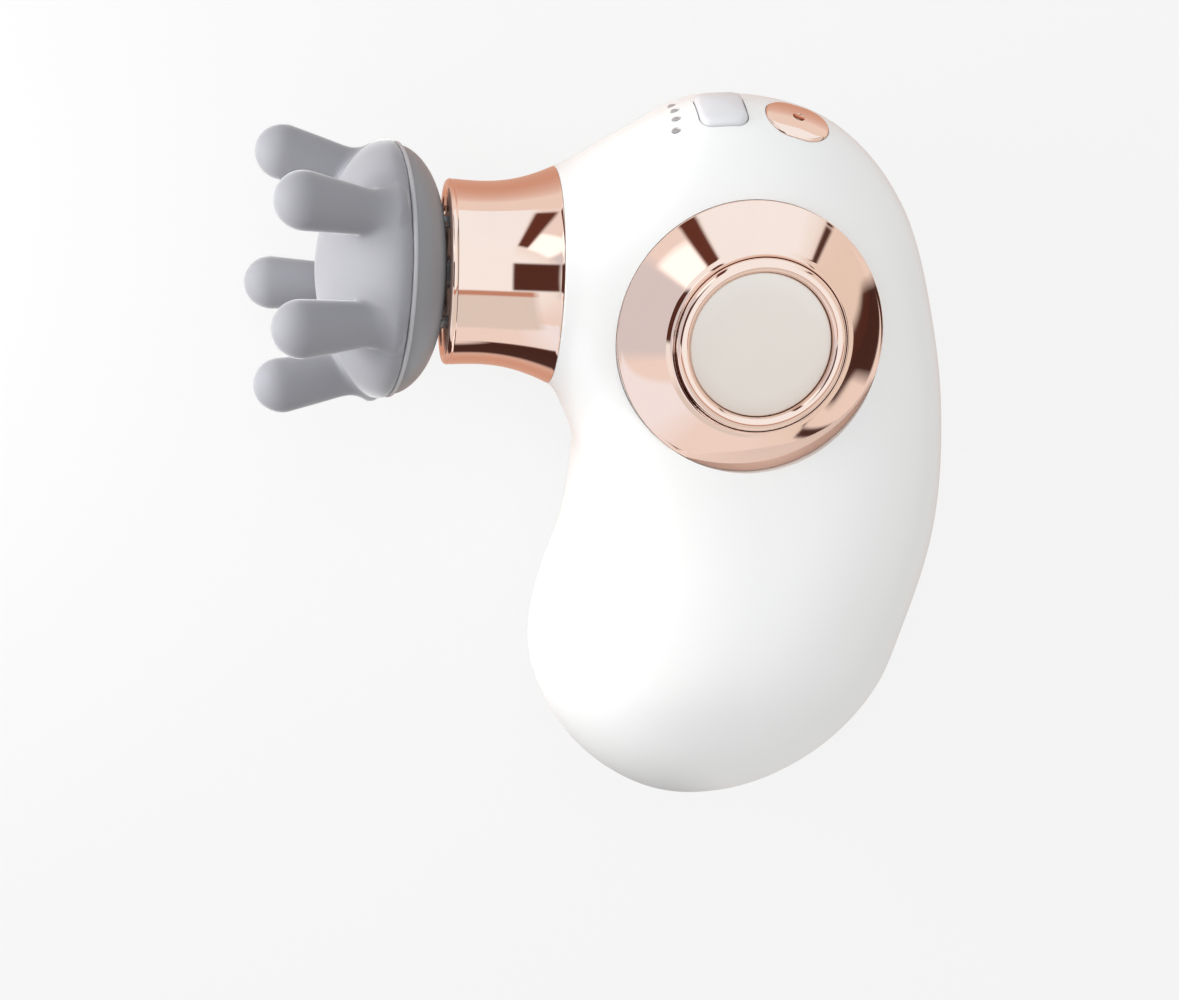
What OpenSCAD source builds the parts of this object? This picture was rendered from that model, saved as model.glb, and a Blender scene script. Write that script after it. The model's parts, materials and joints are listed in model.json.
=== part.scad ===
/* [Body] */
// Half of the body's thickness, which is also the height of its middle plane above the table
half_thickness = 28.5; // [28.3:0.1:29]
// Thickness of the moulded wall
shell_wall = 2; // [1.8:0.1:2.2]
// Height of the neck axis above the centre of the side discs
neck_y = 7; // [6.6:0.1:7.4]
// Distance from the disc centre to the neck's mouth
neck_x = 32.9; // [32.5:0.1:33.5]

/* [Collar] */
// Diameter of the collar where it meets the body
collar_rear_d = 39; // [38.6:0.1:39.6]
// Diameter of the collar's front lip
collar_front_d = 33; // [32.6:0.1:33.4]
// Length of the collar in front of the body
collar_len = 19.2; // [19:0.1:19.6]
// Depth of the hollow sweep in the collar's side
collar_waist = 1.8; // [1.3:0.1:2]

/* [Head] */
// Diameter of the head's rim
head_d = 45.5; // [44.5:0.1:46.3]
// Height of the soft dome in front of the rim
dome_h = 11.2; // [10.8:0.1:11.8]
// Depth of the rear dish behind the rim
dish_depth = 9.2; // [8.8:0.1:9.4]
// Lean of the head's own axis from the neck axis, in degrees
head_lean = 9; // [7:0.5:9]
// Direction of that lean at rest, in degrees from the upper side toward the back of the hand
lean_turn = 14; // [0:2:40]
// Distance from the collar's lip to the middle of the head
head_gap = 11.4; // [11.2:0.1:12]

/* [Fingers] */
// Radius of the circle through the finger tips
finger_ring_r = 21.5; // [20.6:0.1:22]
// Radius of the circle through the finger roots
finger_root_r = 18.4; // [17.6:0.1:18.6]
// Height of the finger tips' centres in front of the rim
finger_reach = 16.3; // [15.5:0.1:17.5]
// Diameter of a finger's round tip
finger_tip_d = 9.9; // [9.5:0.1:10.3]
// Diameter of a finger's neck
finger_neck_d = 7.2; // [6.9:0.1:7.8]

/* [Side discs] */
// Diameter of a side disc's rim
disc_d = 47.4; // [46.4:0.2:47.6]
// Depth of a disc's seat below the top of its bead
disc_depth = 9; // [8.8:0.1:9.4]
// Thickness of the disc's upright edge
disc_edge = 1.7; // [1.4:0.1:2]
// Outer diameter of the raised bead
bead_d = 30; // [29:0.2:31]
// Outer diameter of the satin pad inside the bead
pad_d = 24.8; // [24:0.2:25.4]
// Depth of the pad below the bead
pad_sink = 1.2; // [1:0.1:1.5]

/* [Controls] */
// Turn of the control row from the top edge toward the upper side, in section degrees
control_turn = 23; // [20:1:25]
// Length of the button along the body
button_w = 9.2; // [8.8:0.1:9.6]
// Width of the button across the body
button_l = 12; // [11.4:0.2:12.2]
// Height of the button above the skin
button_proud = 1; // [0.8:0.1:1.2]
// Travel of the button
button_travel = 0.5; // [0.3:0.1:0.6]
// Running gap around the button
button_gap = 0.15; // [0.1:0.01:0.2]
// Diameter of an indicator light
light_d = 2; // [1.8:0.1:2.2]
// Length of the charging plate along the body
plate_w = 13.8; // [13.2:0.2:14.2]
// Width of the charging plate across the body
plate_l = 11; // [10.6:0.2:11.4]

/* [Gears] */
// Tooth module of the gears
gear_module = 0.4; // [0.38:0.01:0.4]
// Teeth on the sun gear
sun_teeth = 12; // [12]
// Teeth on a planet gear
planet_teeth = 18; // [18]
// Width of the gears
gear_w = 6; // [5.6:0.1:6]
// Thinning of each tooth
tooth_thin = 0.06; // [0.05:0.01:0.08]

/* [Motor and cell] */
// Diameter of the motor
motor_d = 24; // [23.6:0.1:24.4]
// Length of the motor's can
motor_len = 26; // [25:0.2:26.4]
// Diameter of the output shaft
shaft_d = 6; // [5.8:0.1:6.2]
// Diameter of the battery cell
cell_d = 18; // [17.8:0.1:18.2]
// Length of the battery cell
cell_len = 49; // [48:0.5:49.5]

/* [Hidden] */
$fn = 64;
eps = 0.01;
fit = 0.04;

// Sections of the body from the neck's mouth to the widest part of the grip:
// inner edge x, y, outer edge x, y, half thickness, squareness
neck_r = collar_rear_d / 2;
body_sections = [
    [-neck_x, neck_y - neck_r, -neck_x, neck_y + neck_r, neck_r, 2],
    [-29, -17.9, -21.5, 33, 20.6, 2.2],
    [-27.6, -21, -6.2, 40.3, 21.1, 2.5],
    [-26.4, -24, 14.6, 37.6, 21.5, 2.8],
    [-26.6, -27.1, 30.2, 22.8, 21.8, 3],
    [-26.8, -31.6, 39.4, -2.6, 22.2, 3],
    [-28.2, -41.2, 42.8, -22.8, 23.6, 2.8],
    [-31.7, -50.5, 42.8, -41, 26, 2.5],
    [-33.8, -62, 38.5, -58.2, half_thickness - 0.2, 2.3]
];
// The rounded end of the grip, from its widest section to its lowest point
grip_end = [-1.2, -34.4];
grip_end_power = 1.76;
end_turns = [18, 36, 54, 72, 90];
section_step = 1 / 3;
section_sides = 18;
// Share of a step by which the inner rings are turned from the outer ones
hollow_phase = 0.45;

function along(k) = [k[2] - k[0], k[3] - k[1]] / norm([k[2] - k[0], k[3] - k[1]]);
function thinned(k, w) = let (d = along(k) * w)
    [k[0] + d.x, k[1] + d.y, k[2] - d.x, k[3] - d.y, k[4] - w, k[5]];
function end_section(a, w) =
    let (k = thinned(body_sections[8], w),
         drop = grip_end * (1 - w / norm(grip_end)) * pow(sin(a), 2 / grip_end_power),
         c = [k[0] + k[2], k[1] + k[3]] / 2 + drop,
         h = [k[2] - k[0], k[3] - k[1]] / 2 * pow(abs(cos(a)), 2 / grip_end_power))
    [c.x - h.x, c.y - h.y, c.x + h.x, c.y + h.y,
     k[4] * pow(abs(cos(a)), 2 / grip_end_power), k[5]];
function sections(w) = concat([for (k = body_sections) thinned(k, w)],
                              [for (a = end_turns) end_section(a, w)]);
last_section = len(body_sections) + len(end_turns) - 1;
outer_sections = sections(0);
inner_sections = sections(shell_wall);

function turned(k) = [k[2], k[3], k[0], k[1], -k[4], k[5]];
function section_key(keys, i) = i < 0 ? keys[0] + [-10, 0, -10, 0, 0, 0]
    : i > last_section ? turned(keys[2 * last_section - i]) : keys[i];
function curve4(a, b, c, d, t) =
    0.5 * (2 * b + (c - a) * t + (2 * a - 5 * b + 4 * c - d) * t * t
           + (3 * b - a - 3 * c + d) * t * t * t);
function section_at(keys, s) = let (i = min(floor(s), last_section - 1))
    curve4(section_key(keys, i - 1), section_key(keys, i), section_key(keys, i + 1),
           section_key(keys, i + 2), s - i);
function bent(v, power) = sign(v) * pow(abs(v), power);
function on_section(k, a) =
    let (c = [k[0] + k[2], k[1] + k[3]] / 2,
         h = [k[2] - k[0], k[3] - k[1]] / 2 * bent(cos(a), 2 / k[5]))
    [c.x + h.x, c.y + h.y, k[4] * bent(sin(a), 2 / k[5])];
function half_ring(s) = [for (i = [0:section_sides])
    on_section(section_at(outer_sections, s), i * 180 / section_sides)];
function hollow_ring(s) = [for (i = [hollow_phase:2 * section_sides])
    on_section(section_at(inner_sections, s), i * 180 / section_sides)];
section_steps = [for (s = [0:section_step:last_section - section_step / 2]) s];
function skin(s, a) = on_section(section_at(outer_sections, s), a);

// A closed solid through a row of rings that ends in one point
module loft(rings, tip) {
    n = len(rings[0]);
    m = len(rings);
    walls = [for (i = [0:m - 2]) for (j = [0:n - 1]) each [
        [i * n + j, (i + 1) * n + (j + 1) % n, i * n + (j + 1) % n],
        [i * n + j, (i + 1) * n + j, (i + 1) * n + (j + 1) % n]]];
    fan = [for (j = [0:n - 1]) [(m - 1) * n + j, m * n, (m - 1) * n + (j + 1) % n]];
    polyhedron([for (r = rings) each r, tip], concat([[for (j = [0:n - 1]) j]], walls, fan), 6);
}

module half_body() {
    loft([for (s = section_steps) half_ring(s)], skin(last_section, 0));
}

module body_hollow() {
    loft(concat([[for (p = hollow_ring(0)) p - [4, 0, 0]]], [for (s = section_steps) hollow_ring(s)]),
         on_section(section_at(inner_sections, last_section), 0));
}

// Places, measured along the neck axis from the disc centre toward the head
case_rear = 18;
plate_t = 2;
gear_start = case_rear + plate_t + 0.3;
carrier_start = gear_start + gear_w + 0.3;
carrier_t = 2;
web_start = carrier_start + carrier_t + 0.2;
web_t = 2.5;
flange_front = web_start + web_t;
collar_front = neck_x + collar_len;
nose_t = 1.5;
nose_front = collar_front - 1.6;
nose_rear = nose_front - nose_t;
head_x = collar_front + head_gap;
motor_rear = case_rear - motor_len;

module on_neck(distance) {
    translate([-distance, neck_y, half_thickness]) rotate([0, -90, 0]) children();
}

module on_head() {
    on_neck(head_x) rotate([0, 0, lean_turn]) rotate([0, head_lean, 0])
        rotate([0, 0, -lean_turn]) children();
}

module tube(outer, inner, from, to) {
    translate([0, 0, from]) difference() {
        cylinder(r = outer, h = to - from);
        translate([0, 0, -1]) cylinder(r = inner, h = to - from + 2);
    }
}

module rod(r, from, to) {
    translate([0, 0, from]) cylinder(r = r, h = to - from);
}

module beside(side) {
    translate([0, 0, half_thickness]) mirror([0, 0, side < 0 ? 1 : 0]) children();
}

// Side disc pockets and screw posts of the two shells
seat_wall = 2;
disc_seat = half_thickness - disc_depth;
post_r = 3.2;
screw_r = 1.1;
screw_head_r = 2.3;
screw_head_t = 1.6;
screw_reach = 10;
cell_x = 4;
cell_top = -24.4;
cradle_end = 1;
posts = [[18.6, 8], [4, -18.6], [1, cell_top - cell_len - cradle_end - post_r - 1.4]];
post_sinks = [disc_seat - screw_head_t - 0.4, disc_seat - screw_head_t - 0.4, 12];
pocket_gap = 0.05;

module shell_half() {
    difference() {
        union() {
            difference() {
                half_body();
                body_hollow();
            }
            intersection() {
                half_body();
                union() {
                    rod(disc_d / 2 + 1.6, disc_seat - seat_wall, half_thickness);
                    for (p = posts) translate(p) rod(post_r, 0, half_thickness);
                    children();
                }
            }
        }
        rod(disc_d / 2 + pocket_gap, disc_seat, half_thickness + 1);
    }
}

// The control row stands on the skin, each piece square to the skin at its own place
button_s = 2.06;
light_s = 1.6;
plate_s = 2.72;
plate_turn = control_turn + 3;
light_mid = control_turn - 4;
light_turn = 9;
function skin_normal(s, a) =
    let (n = cross(skin(s + 0.02, a) - skin(s - 0.02, a), skin(s, a + 1) - skin(s, a - 1)))
    -n / norm(n);
function skin_frame(s, a) =
    let (z = skin_normal(s, a), y = cross(z, skin(s + 0.02, a) - skin(s - 0.02, a)),
         v = y / norm(y))
    [cross(v, z), v, z];
function arc_radius(p, q, r) =
    norm(p - q) * norm(q - r) * norm(r - p) / (2 * norm(cross(q - p, r - p)));
function bend_across(s, a) = arc_radius(skin(s, a - 10), skin(s, a), skin(s, a + 10));
function bend_along(s, a) = arc_radius(skin(s - 0.3, a), skin(s, a), skin(s + 0.3, a));
function bends(s, a) = [bend_along(s, a), bend_across(s, a)];

module on_skin(s, a) {
    f = skin_frame(s, a);
    p = skin(s, a) + [0, 0, half_thickness];
    multmatrix([[f[0].x, f[1].x, f[2].x, p.x], [f[0].y, f[1].y, f[2].y, p.y],
                [f[0].z, f[1].z, f[2].z, p.z], [0, 0, 0, 1]]) children();
}

function rounded_box(w, l, r) =
    [for (q = [[1, 1, 0], [-1, 1, 90], [-1, -1, 180], [1, -1, 270]]) for (a = [0:15:90])
        [q.x * (w / 2 - r) + r * cos(q.z + a), q.y * (l / 2 - r) + r * sin(q.z + a)]];

// A rounded box whose top follows both bends of the skin at the given height
bend_step = 0.08;
module crowned(w, l, r, from, height, bend) {
    intersection() {
        translate([0, 0, from]) linear_extrude(height - from + 1) polygon(rounded_box(w, l, r));
        translate([-w, 0, -bend.y]) rotate([0, 90, 0])
            cylinder(r = bend.y + height, h = 2 * w, $fn = 128);
        translate([0, l, -bend.x]) rotate([90, 0, 0])
            cylinder(r = bend.x + height + bend_step, h = 2 * l, $fn = 256);
    }
}

button_bend = bends(button_s, control_turn);
plate_bend = bends(plate_s, plate_turn);
button_r = 2.2;
guide_wall = 1.6;
guide_top = -shell_wall - 0.8;
guide_base = -5.4;
flange_t = 1;
flange_lip = 0.6;
flange_play = 0.2;
plunger_r = 1.5;
plunger_play = 0.4;
switch_top = guide_base - flange_t - button_travel - plunger_play;
switch_h = 2.4;
board_top = switch_top - switch_h;
board_t = 1.2;
board_l = 15;
board_left = -13.5;
board_right = 7;
plate_sink = 1.5;
plate_proud = 0.35;
socket_r = 2.6;
jack_r = 0.9;
socket_rear = -8.4;
socket_body = [5.6, 5.6, 4.6];
socket_shift = 1;

// Places of the four lights in the button's own frame
function in_frame(f, p) = [p * f[0], p * f[1], p * f[2]];
light_turns = [for (i = [-1.5:1.5]) light_mid + i * light_turn];
light_points = [for (a = light_turns)
    in_frame(skin_frame(button_s, control_turn), skin(light_s, a) - skin(button_s, control_turn))];

hole_depth = 8;
hole_rise = 4;
light_depth = 6;
module near_shell() color("white") difference() {
    beside(1) shell_half();
    beside(1) for (p = posts) translate(p) rod(screw_r, -1, screw_reach + 1);
    on_skin(button_s, control_turn) {
        translate([0, 0, -hole_depth]) linear_extrude(hole_depth + hole_rise)
            polygon(rounded_box(button_w + 2 * button_gap, button_l + 2 * button_gap, button_r));
        for (p = light_points) translate([p.x, p.y, 0])
            rod(light_d / 2 + pocket_gap, p.z - light_depth, p.z + hole_rise);
    }
    on_skin(plate_s, plate_turn) {
        translate([0, 0, -plate_sink]) linear_extrude(hole_depth + hole_rise)
            polygon(rounded_box(plate_w + 2 * pocket_gap, plate_l + 2 * pocket_gap, plate_l / 2));
        rod(socket_r, -hole_depth, hole_rise);
    }
}

cradle_wall = 3;
cradle_post_r = 4;
cradle_post_y = [cell_top - cell_len / 4, cell_top - cell_len * 3 / 4];

module far_shell() color("white") difference() {
    beside(-1) shell_half() for (y = cradle_post_y) translate([cell_x, y])
        rod(cradle_post_r, cell_d / 2 + cradle_wall, half_thickness);
    beside(-1) for (i = [0:2]) translate(posts[i]) {
        rod(screw_r + 0.2, -1, half_thickness);
        rod(screw_head_r + 0.1, post_sinks[i], half_thickness + 1);
    }
}

cross_l = 2.8;
cross_w = 0.6;
cross_depth = 0.8;
module case_screws() color("silver") beside(-1) for (i = [0:2]) translate(posts[i]) difference() {
    union() {
        rod(screw_r, -screw_reach, post_sinks[i] + eps);
        rod(screw_head_r, post_sinks[i], post_sinks[i] + screw_head_t);
    }
    for (a = [0, 90]) rotate([0, 0, a])
        translate([-cross_l / 2, -cross_w / 2, post_sinks[i] + screw_head_t - cross_depth])
            cube([cross_l, cross_w, screw_head_t]);
}

plug_r = screw_head_r + 0.08;
plug_top = 19.2;
plug_dome_r = 4.62;
plug_dome_drop = 4;
module screw_plug() color("white") beside(-1) translate(posts[2]) {
    rod(plug_r, post_sinks[2] + screw_head_t + 0.1, plug_top);
    translate([0, 0, plug_top]) intersection() {
        translate([0, 0, -plug_dome_drop]) sphere(r = plug_dome_r);
        cylinder(r = plug_r, h = plug_dome_r - plug_dome_drop + 1);
    }
}

// Collar: rear spigot inside the shells, hollow-swept side, round lip, ledge for the gear case
spigot_len = 3;
collar_bore = neck_r - 5.3;
nose_r = collar_front_d / 2 - 1.7;
lip_r = 0.8;
ledge_w = 3;
ledge_t = 2;
module collar() color([0.87, 0.66, 0.56]) on_neck(0) rotate_extrude($fn = 96) polygon(concat(
    [[collar_bore, neck_x - spigot_len], [neck_r - shell_wall - 0.05, neck_x - spigot_len],
     [neck_r - shell_wall - 0.05, neck_x + eps]],
    [for (i = [0:12]) let (u = i / 12)
        [neck_r + (collar_front_d / 2 - neck_r) * u - collar_waist * sin(180 * pow(u, 0.9)),
         neck_x + (collar_len - lip_r) * u]],
    [for (a = [15:25:165]) [collar_front_d / 2 - lip_r + lip_r * cos(a),
                            collar_front - lip_r + lip_r * sin(a)]],
    [[nose_r, collar_front - lip_r], [nose_r, nose_rear], [collar_bore, nose_rear],
     [collar_bore, flange_front + ledge_t], [collar_bore - ledge_w, flange_front + ledge_t],
     [collar_bore - ledge_w, flange_front], [collar_bore, flange_front]]));

pin_r = 1.25;
pin_ring = 9;
pin_len = 6.5;
pin_point = 0.5;
module nose_cover() color("dimgray") on_neck(0) difference() {
    rod(nose_r - 0.02, nose_rear, nose_front);
    rod(shaft_d / 2 + 0.4, nose_rear - 1, nose_front + 1);
    for (y = [-pin_ring, pin_ring]) translate([0, y]) rod(pin_r, nose_rear - 1, nose_front + 1);
}

module guide_pins() color("silver") on_neck(0) for (y = [-pin_ring, pin_ring]) translate([0, y]) {
    rod(pin_r, nose_rear, nose_front + pin_len - pin_point);
    translate([0, 0, nose_front + pin_len - pin_point])
        cylinder(r1 = pin_r, r2 = pin_r - pin_point, h = pin_point);
}

case_r = 13.4;
ring_outer_r = 12.5;
bush_r = 5;
case_tube_r = 7.5;
module gear_case() color("gainsboro") on_neck(0) rotate_extrude($fn = 96) polygon([
    [ring_outer_r, case_rear], [case_r, case_rear], [case_r, web_start],
    [collar_bore - 0.02, web_start], [collar_bore - 0.02, flange_front],
    [case_tube_r, flange_front], [case_tube_r, nose_rear], [bush_r, nose_rear],
    [bush_r, web_start], [ring_outer_r, web_start]]);

bush_len = 4;
module shaft_bushes() color([0.72, 0.5, 0.25]) on_neck(0) {
    tube(bush_r, shaft_d / 2 + fit, web_start, web_start + bush_len);
    tube(bush_r, shaft_d / 2 + fit, nose_rear - bush_len, nose_rear);
}

// Involute gear outlines
ring_teeth = sun_teeth + 2 * planet_teeth;
gear_centres = gear_module * (sun_teeth + planet_teeth) / 2;
pressure_angle = 20;
function unwind(rb, r) = sqrt(pow(r / rb, 2) - 1) * 180 / PI - acos(rb / r);
function flank_turn(n, r, thin) =
    let (pitch_r = gear_module * n / 2, rb = pitch_r * cos(pressure_angle))
    90 / n - thin / pitch_r * 90 / PI
    + unwind(rb, pitch_r) - (r > rb ? unwind(rb, r) : 0);
function gear_outline(n, root_r, tip_r, thin) =
    let (rb = gear_module * n / 2 * cos(pressure_angle), first = max(root_r, rb))
    [for (i = [0:n - 1]) let (t = i * 360 / n) each concat(
        [root_r < rb ? [root_r * cos(t - flank_turn(n, rb, thin)),
                        root_r * sin(t - flank_turn(n, rb, thin))] : undef],
        [for (k = [0:3]) let (r = first + (tip_r - first) * k / 3, a = t - flank_turn(n, r, thin))
            [r * cos(a), r * sin(a)]],
        [for (k = [3:-1:0]) let (r = first + (tip_r - first) * k / 3, a = t + flank_turn(n, r, thin))
            [r * cos(a), r * sin(a)]],
        [root_r < rb ? [root_r * cos(t + flank_turn(n, rb, thin)),
                        root_r * sin(t + flank_turn(n, rb, thin))] : undef])];
function cleaned(points) = [for (p = points) if (!is_undef(p)) p];

module spur_gear(n, thin) {
    linear_extrude(gear_w) polygon(cleaned(gear_outline(n, gear_module * (n / 2 - 1.25),
                                                        gear_module * (n / 2 + 0.9), thin)));
}

module ring_gear() color("lightgray") on_neck(gear_start - 0.3) difference() {
    cylinder(r = ring_outer_r, h = gear_w + 0.5);
    translate([0, 0, -1]) linear_extrude(gear_w + 2.5) rotate([0, 0, 180 / ring_teeth])
        polygon(cleaned(gear_outline(ring_teeth, gear_module * (ring_teeth / 2 - 0.85),
                                     gear_module * (ring_teeth / 2 + 1.25), -tooth_thin)));
}

sun_bore = 1;
module sun_gear() color("goldenrod") on_neck(gear_start) difference() {
    spur_gear(sun_teeth, tooth_thin);
    rod(sun_bore, -1, gear_w + 1);
}

axle_r = 1.2;
module planet(i) color([0.9, 0.88, 0.8]) on_neck(gear_start) rotate([0, 0, i * 120])
    translate([gear_centres, 0]) rotate([0, 0, 180 / planet_teeth]) difference() {
        spur_gear(planet_teeth, tooth_thin);
        rod(axle_r + fit, -1, gear_w + 1);
    }
module planet_gear_1() planet(0);
module planet_gear_2() planet(1);
module planet_gear_3() planet(2);

module planet_carrier() color("darkgray") on_neck(0) {
    difference() {
        rod(gear_centres + 2.6, carrier_start, carrier_start + carrier_t);
        rod(shaft_d / 2, carrier_start - 1, carrier_start + carrier_t + 1);
    }
    for (i = [0:2]) rotate([0, 0, i * 120]) translate([gear_centres, 0])
        rod(axle_r, gear_start + 0.2, carrier_start + eps);
}

module motor_plate() color("silver") on_neck(0) difference() {
    rod(ring_outer_r - 0.02, case_rear, case_rear + plate_t);
    rod(3.1, case_rear - 1, case_rear + plate_t + 1);
}

motor_boss_r = 3;
module motor_can() color("silver") on_neck(0) {
    difference() {
        rod(motor_d / 2, motor_rear, case_rear);
        rod(motor_d / 2 - 1, motor_rear - 1, case_rear - 1);
        rod(sun_bore + 0.3, case_rear - 2, case_rear + 1);
    }
    tube(motor_boss_r, sun_bore + 0.05, case_rear - eps, case_rear + 1.6);
}

module motor_end_cap() color("ivory") on_neck(0) difference() {
    union() {
        rod(motor_d / 2 - 1, motor_rear, motor_rear + 2);
        rod(motor_d / 2, motor_rear - 1.2, motor_rear);
        rod(4, motor_rear - 2.6, motor_rear);
    }
    rod(sun_bore + 0.05, motor_rear - 2, motor_rear + 3);
}

rotor_r = 8;
module motor_shaft() color("dimgray") on_neck(0) {
    rod(sun_bore, motor_rear - 1.9, gear_start + gear_w);
    difference() {
        rod(rotor_r, motor_rear + 5, case_rear - 3);
        for (i = [0:2]) rotate([0, 0, i * 120]) translate([rotor_r - 3, -0.8, motor_rear + 4])
            cube([4, 1.6, motor_len]);
    }
}

damper_l = 10;
damper_w = 12;
damper_wrap = 2.5;
module motor_dampers() color("dimgray") for (side = [1, -1]) beside(side) difference() {
    translate([-damper_l, neck_y - damper_w / 2, motor_d / 2 - damper_wrap])
        cube([damper_l, damper_w, disc_seat - seat_wall - motor_d / 2 + damper_wrap]);
    translate([-damper_l - 2, neck_y, 0]) rotate([0, 90, 0])
        cylinder(r = motor_d / 2, h = damper_l + 4);
}

// Crank: straight shaft in the bushes and a leaning journal in the head
shoulder_r = 4.7;
journal_rear = -4.6;
journal_front = 3.6;
crank_end = head_x - 5.2;
module crank_shaft() color("silver") {
    on_neck(0) rod(shaft_d / 2, carrier_start, crank_end);
    on_head() {
        rod(shoulder_r, journal_rear - 1, journal_rear);
        difference() {
            rod(shaft_d / 2, journal_rear - 0.6, journal_front);
            rod(1, journal_front - 4, journal_front + 1);
        }
    }
}

module crank_washer() color("silver") on_head() tube(4.8, 1.1, journal_front, journal_front + 0.6);

module crank_screw() color("gray") on_head() {
    rod(1, journal_front - 3.5, journal_front + 0.6 + eps);
    difference() {
        rod(2, journal_front + 0.6, journal_front + 1.8);
        translate([-2.5, -0.3, journal_front + 1.2]) cube([5, 0.6, 1]);
    }
}

// Head: rear dish, band, hard core and soft pad, all round the leaning axis
dish_r = head_d / 2 - 0.7;
dish_flat_r = 12.4;
dish_wall = 2;
band_rear = -2.2;
band_front = -1.4;
band_w = 3.6;
dome_power = 1.7;
core_cover = 3;
core_wall = 1.8;
screw_ring = 14.2;
pin_hole_r = 3;
core_post_r = 2.3;

function dish_curve(shrink, lift) = [for (i = [0:8]) let (a = i * 90 / 8)
    [dish_flat_r - shrink * 0.7 + (dish_r - shrink * 0.3 - dish_flat_r) * bent(sin(a), 1.15),
     -dish_depth + lift + (dish_depth + band_rear - lift) * (1 - bent(cos(a), 1.15))]];
function dome_curve(r, h, n) = [for (i = [0:n]) let (a = i * 90 / n)
    [r * bent(cos(a), 2 / dome_power), h * bent(sin(a), 2 / dome_power)]];

module head_dish() color([0.5, 0.5, 0.51]) on_head() difference() {
    rotate_extrude($fn = 96) polygon(concat([[5.8, -dish_depth]], dish_curve(0, 0),
        [for (p = [8:-1:0]) dish_curve(dish_wall, dish_wall)[p]], [[5.8, -dish_depth + dish_wall]]));
    for (y = [-pin_ring, pin_ring]) translate([0, y]) rod(pin_hole_r, -dish_depth - 1, 0);
    for (i = [0:2]) rotate([0, 0, 30 + 120 * i]) translate([screw_ring, 0]) {
        rod(1.1, -dish_depth - 1, 0);
        rod(2, -dish_depth - 1, -dish_depth + 1.6);
    }
}

hub_r = 7;
module head_hub() color("darkgray") on_head() difference() {
    union() {
        rod(hub_r, -dish_depth + dish_wall, journal_front - 0.2);
        rod(dish_flat_r - dish_wall * 0.7 - 0.1, -dish_depth + dish_wall, -dish_depth + dish_wall + 1.4);
    }
    rod(bush_r, -dish_depth, journal_front + 1);
    for (y = [-pin_ring, pin_ring]) translate([0, y]) rod(pin_hole_r, -dish_depth, journal_front + 1);
}

module hub_sleeve() color([0.72, 0.5, 0.25]) on_head()
    tube(bush_r, shaft_d / 2 + fit, journal_rear + 0.05, journal_front - 0.05);

module head_band() color("lightgray") on_head() tube(head_d / 2 - 0.15, head_d / 2 - band_w, band_rear, band_front);

core_r = head_d / 2 - core_cover - 0.5;
core_h = dome_h - core_cover - 0.2;
module core_outside() {
    rotate_extrude($fn = 96) polygon(concat([[0, band_front], [core_r, band_front]],
                                            dome_curve(core_r, core_h, 10)));
}

module head_core() color("gray") on_head() difference() {
    union() {
        difference() {
            core_outside();
            translate([0, 0, band_front - eps]) rotate_extrude($fn = 96)
                polygon(concat([[0, 0]], dome_curve(core_r - core_wall, core_h - core_wall - band_front, 10)));
        }
        for (i = [0:2]) rotate([0, 0, 30 + 120 * i]) translate([screw_ring, 0])
            rod(core_post_r, -dish_depth + dish_wall + 2.1, 3);
    }
    for (i = [0:2]) rotate([0, 0, 30 + 120 * i]) translate([screw_ring, 0])
        rod(0.9, -dish_depth, 1.5);
}

module head_screws() color("silver") on_head() for (i = [0:2]) rotate([0, 0, 30 + 120 * i])
    translate([screw_ring, 0]) difference() {
        union() {
            rod(0.9, -dish_depth + 1.6 - eps, 1.4);
            rod(1.8, -dish_depth + 0.8, -dish_depth + 1.6);
        }
        translate([-2, -0.25, -dish_depth]) cube([4, 0.5, 1.2]);
    }

// A finger: flared root, neck and round tip, as one turned outline
root_h = 2;
finger_len = norm([finger_ring_r - finger_root_r, finger_reach - root_h]);
finger_splay = atan2(finger_ring_r - finger_root_r, finger_reach - root_h);
tip_r = finger_tip_d / 2;
root_flare = 2.6;
flare_len = 6;
tip_start = 2.5;
function neck_radius(t) = let (p = (t - flare_len) / (finger_len - tip_start - flare_len),
    rise = sqrt(tip_r * tip_r - tip_start * tip_start) - finger_neck_d / 2,
    slope = tip_start / sqrt(tip_r * tip_r - tip_start * tip_start)
            * (finger_len - tip_start - flare_len))
    finger_neck_d / 2 + (3 - 2 * p) * p * p * rise + (p - 1) * p * p * slope;
module finger() rotate_extrude($fn = 48) polygon(concat(
    [[0, 0]],
    [for (i = [0:5]) let (u = i / 5)
        [finger_neck_d / 2 + root_flare * pow(1 - u, 2.2), flare_len * u]],
    [for (i = [1:5]) let (t = flare_len + (finger_len - tip_start - flare_len) * i / 5)
        [neck_radius(t), t]],
    [for (a = [-20:11:79]) [tip_r * cos(a), finger_len + tip_r * sin(a)]],
    [[0, finger_len + tip_r]]));

// Places of the fingers round the head, from the upper side
finger_turns = [37, 120, 196.5, 268, 339];
module finger_pad() color([0.72, 0.72, 0.73]) on_head() difference() {
    union() {
        rotate_extrude($fn = 96) polygon(concat([[0, band_front], [head_d / 2, band_front]],
                                                dome_curve(head_d / 2, dome_h, 14)));
        for (a = finger_turns) rotate([0, 0, a])
            translate([finger_root_r, 0, root_h]) rotate([0, finger_splay, 0]) finger();
    }
    core_outside();
}

// Control row
module button() color([0.88, 0.88, 0.9]) on_skin(button_s, control_turn) {
    crowned(button_w, button_l, button_r - 0.1, guide_base - flange_t, button_proud, button_bend);
    translate([0, 0, guide_base - flange_t]) linear_extrude(flange_t)
        polygon(rounded_box(button_w + 2 * flange_lip, button_l + 2 * flange_lip, button_r));
}

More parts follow.
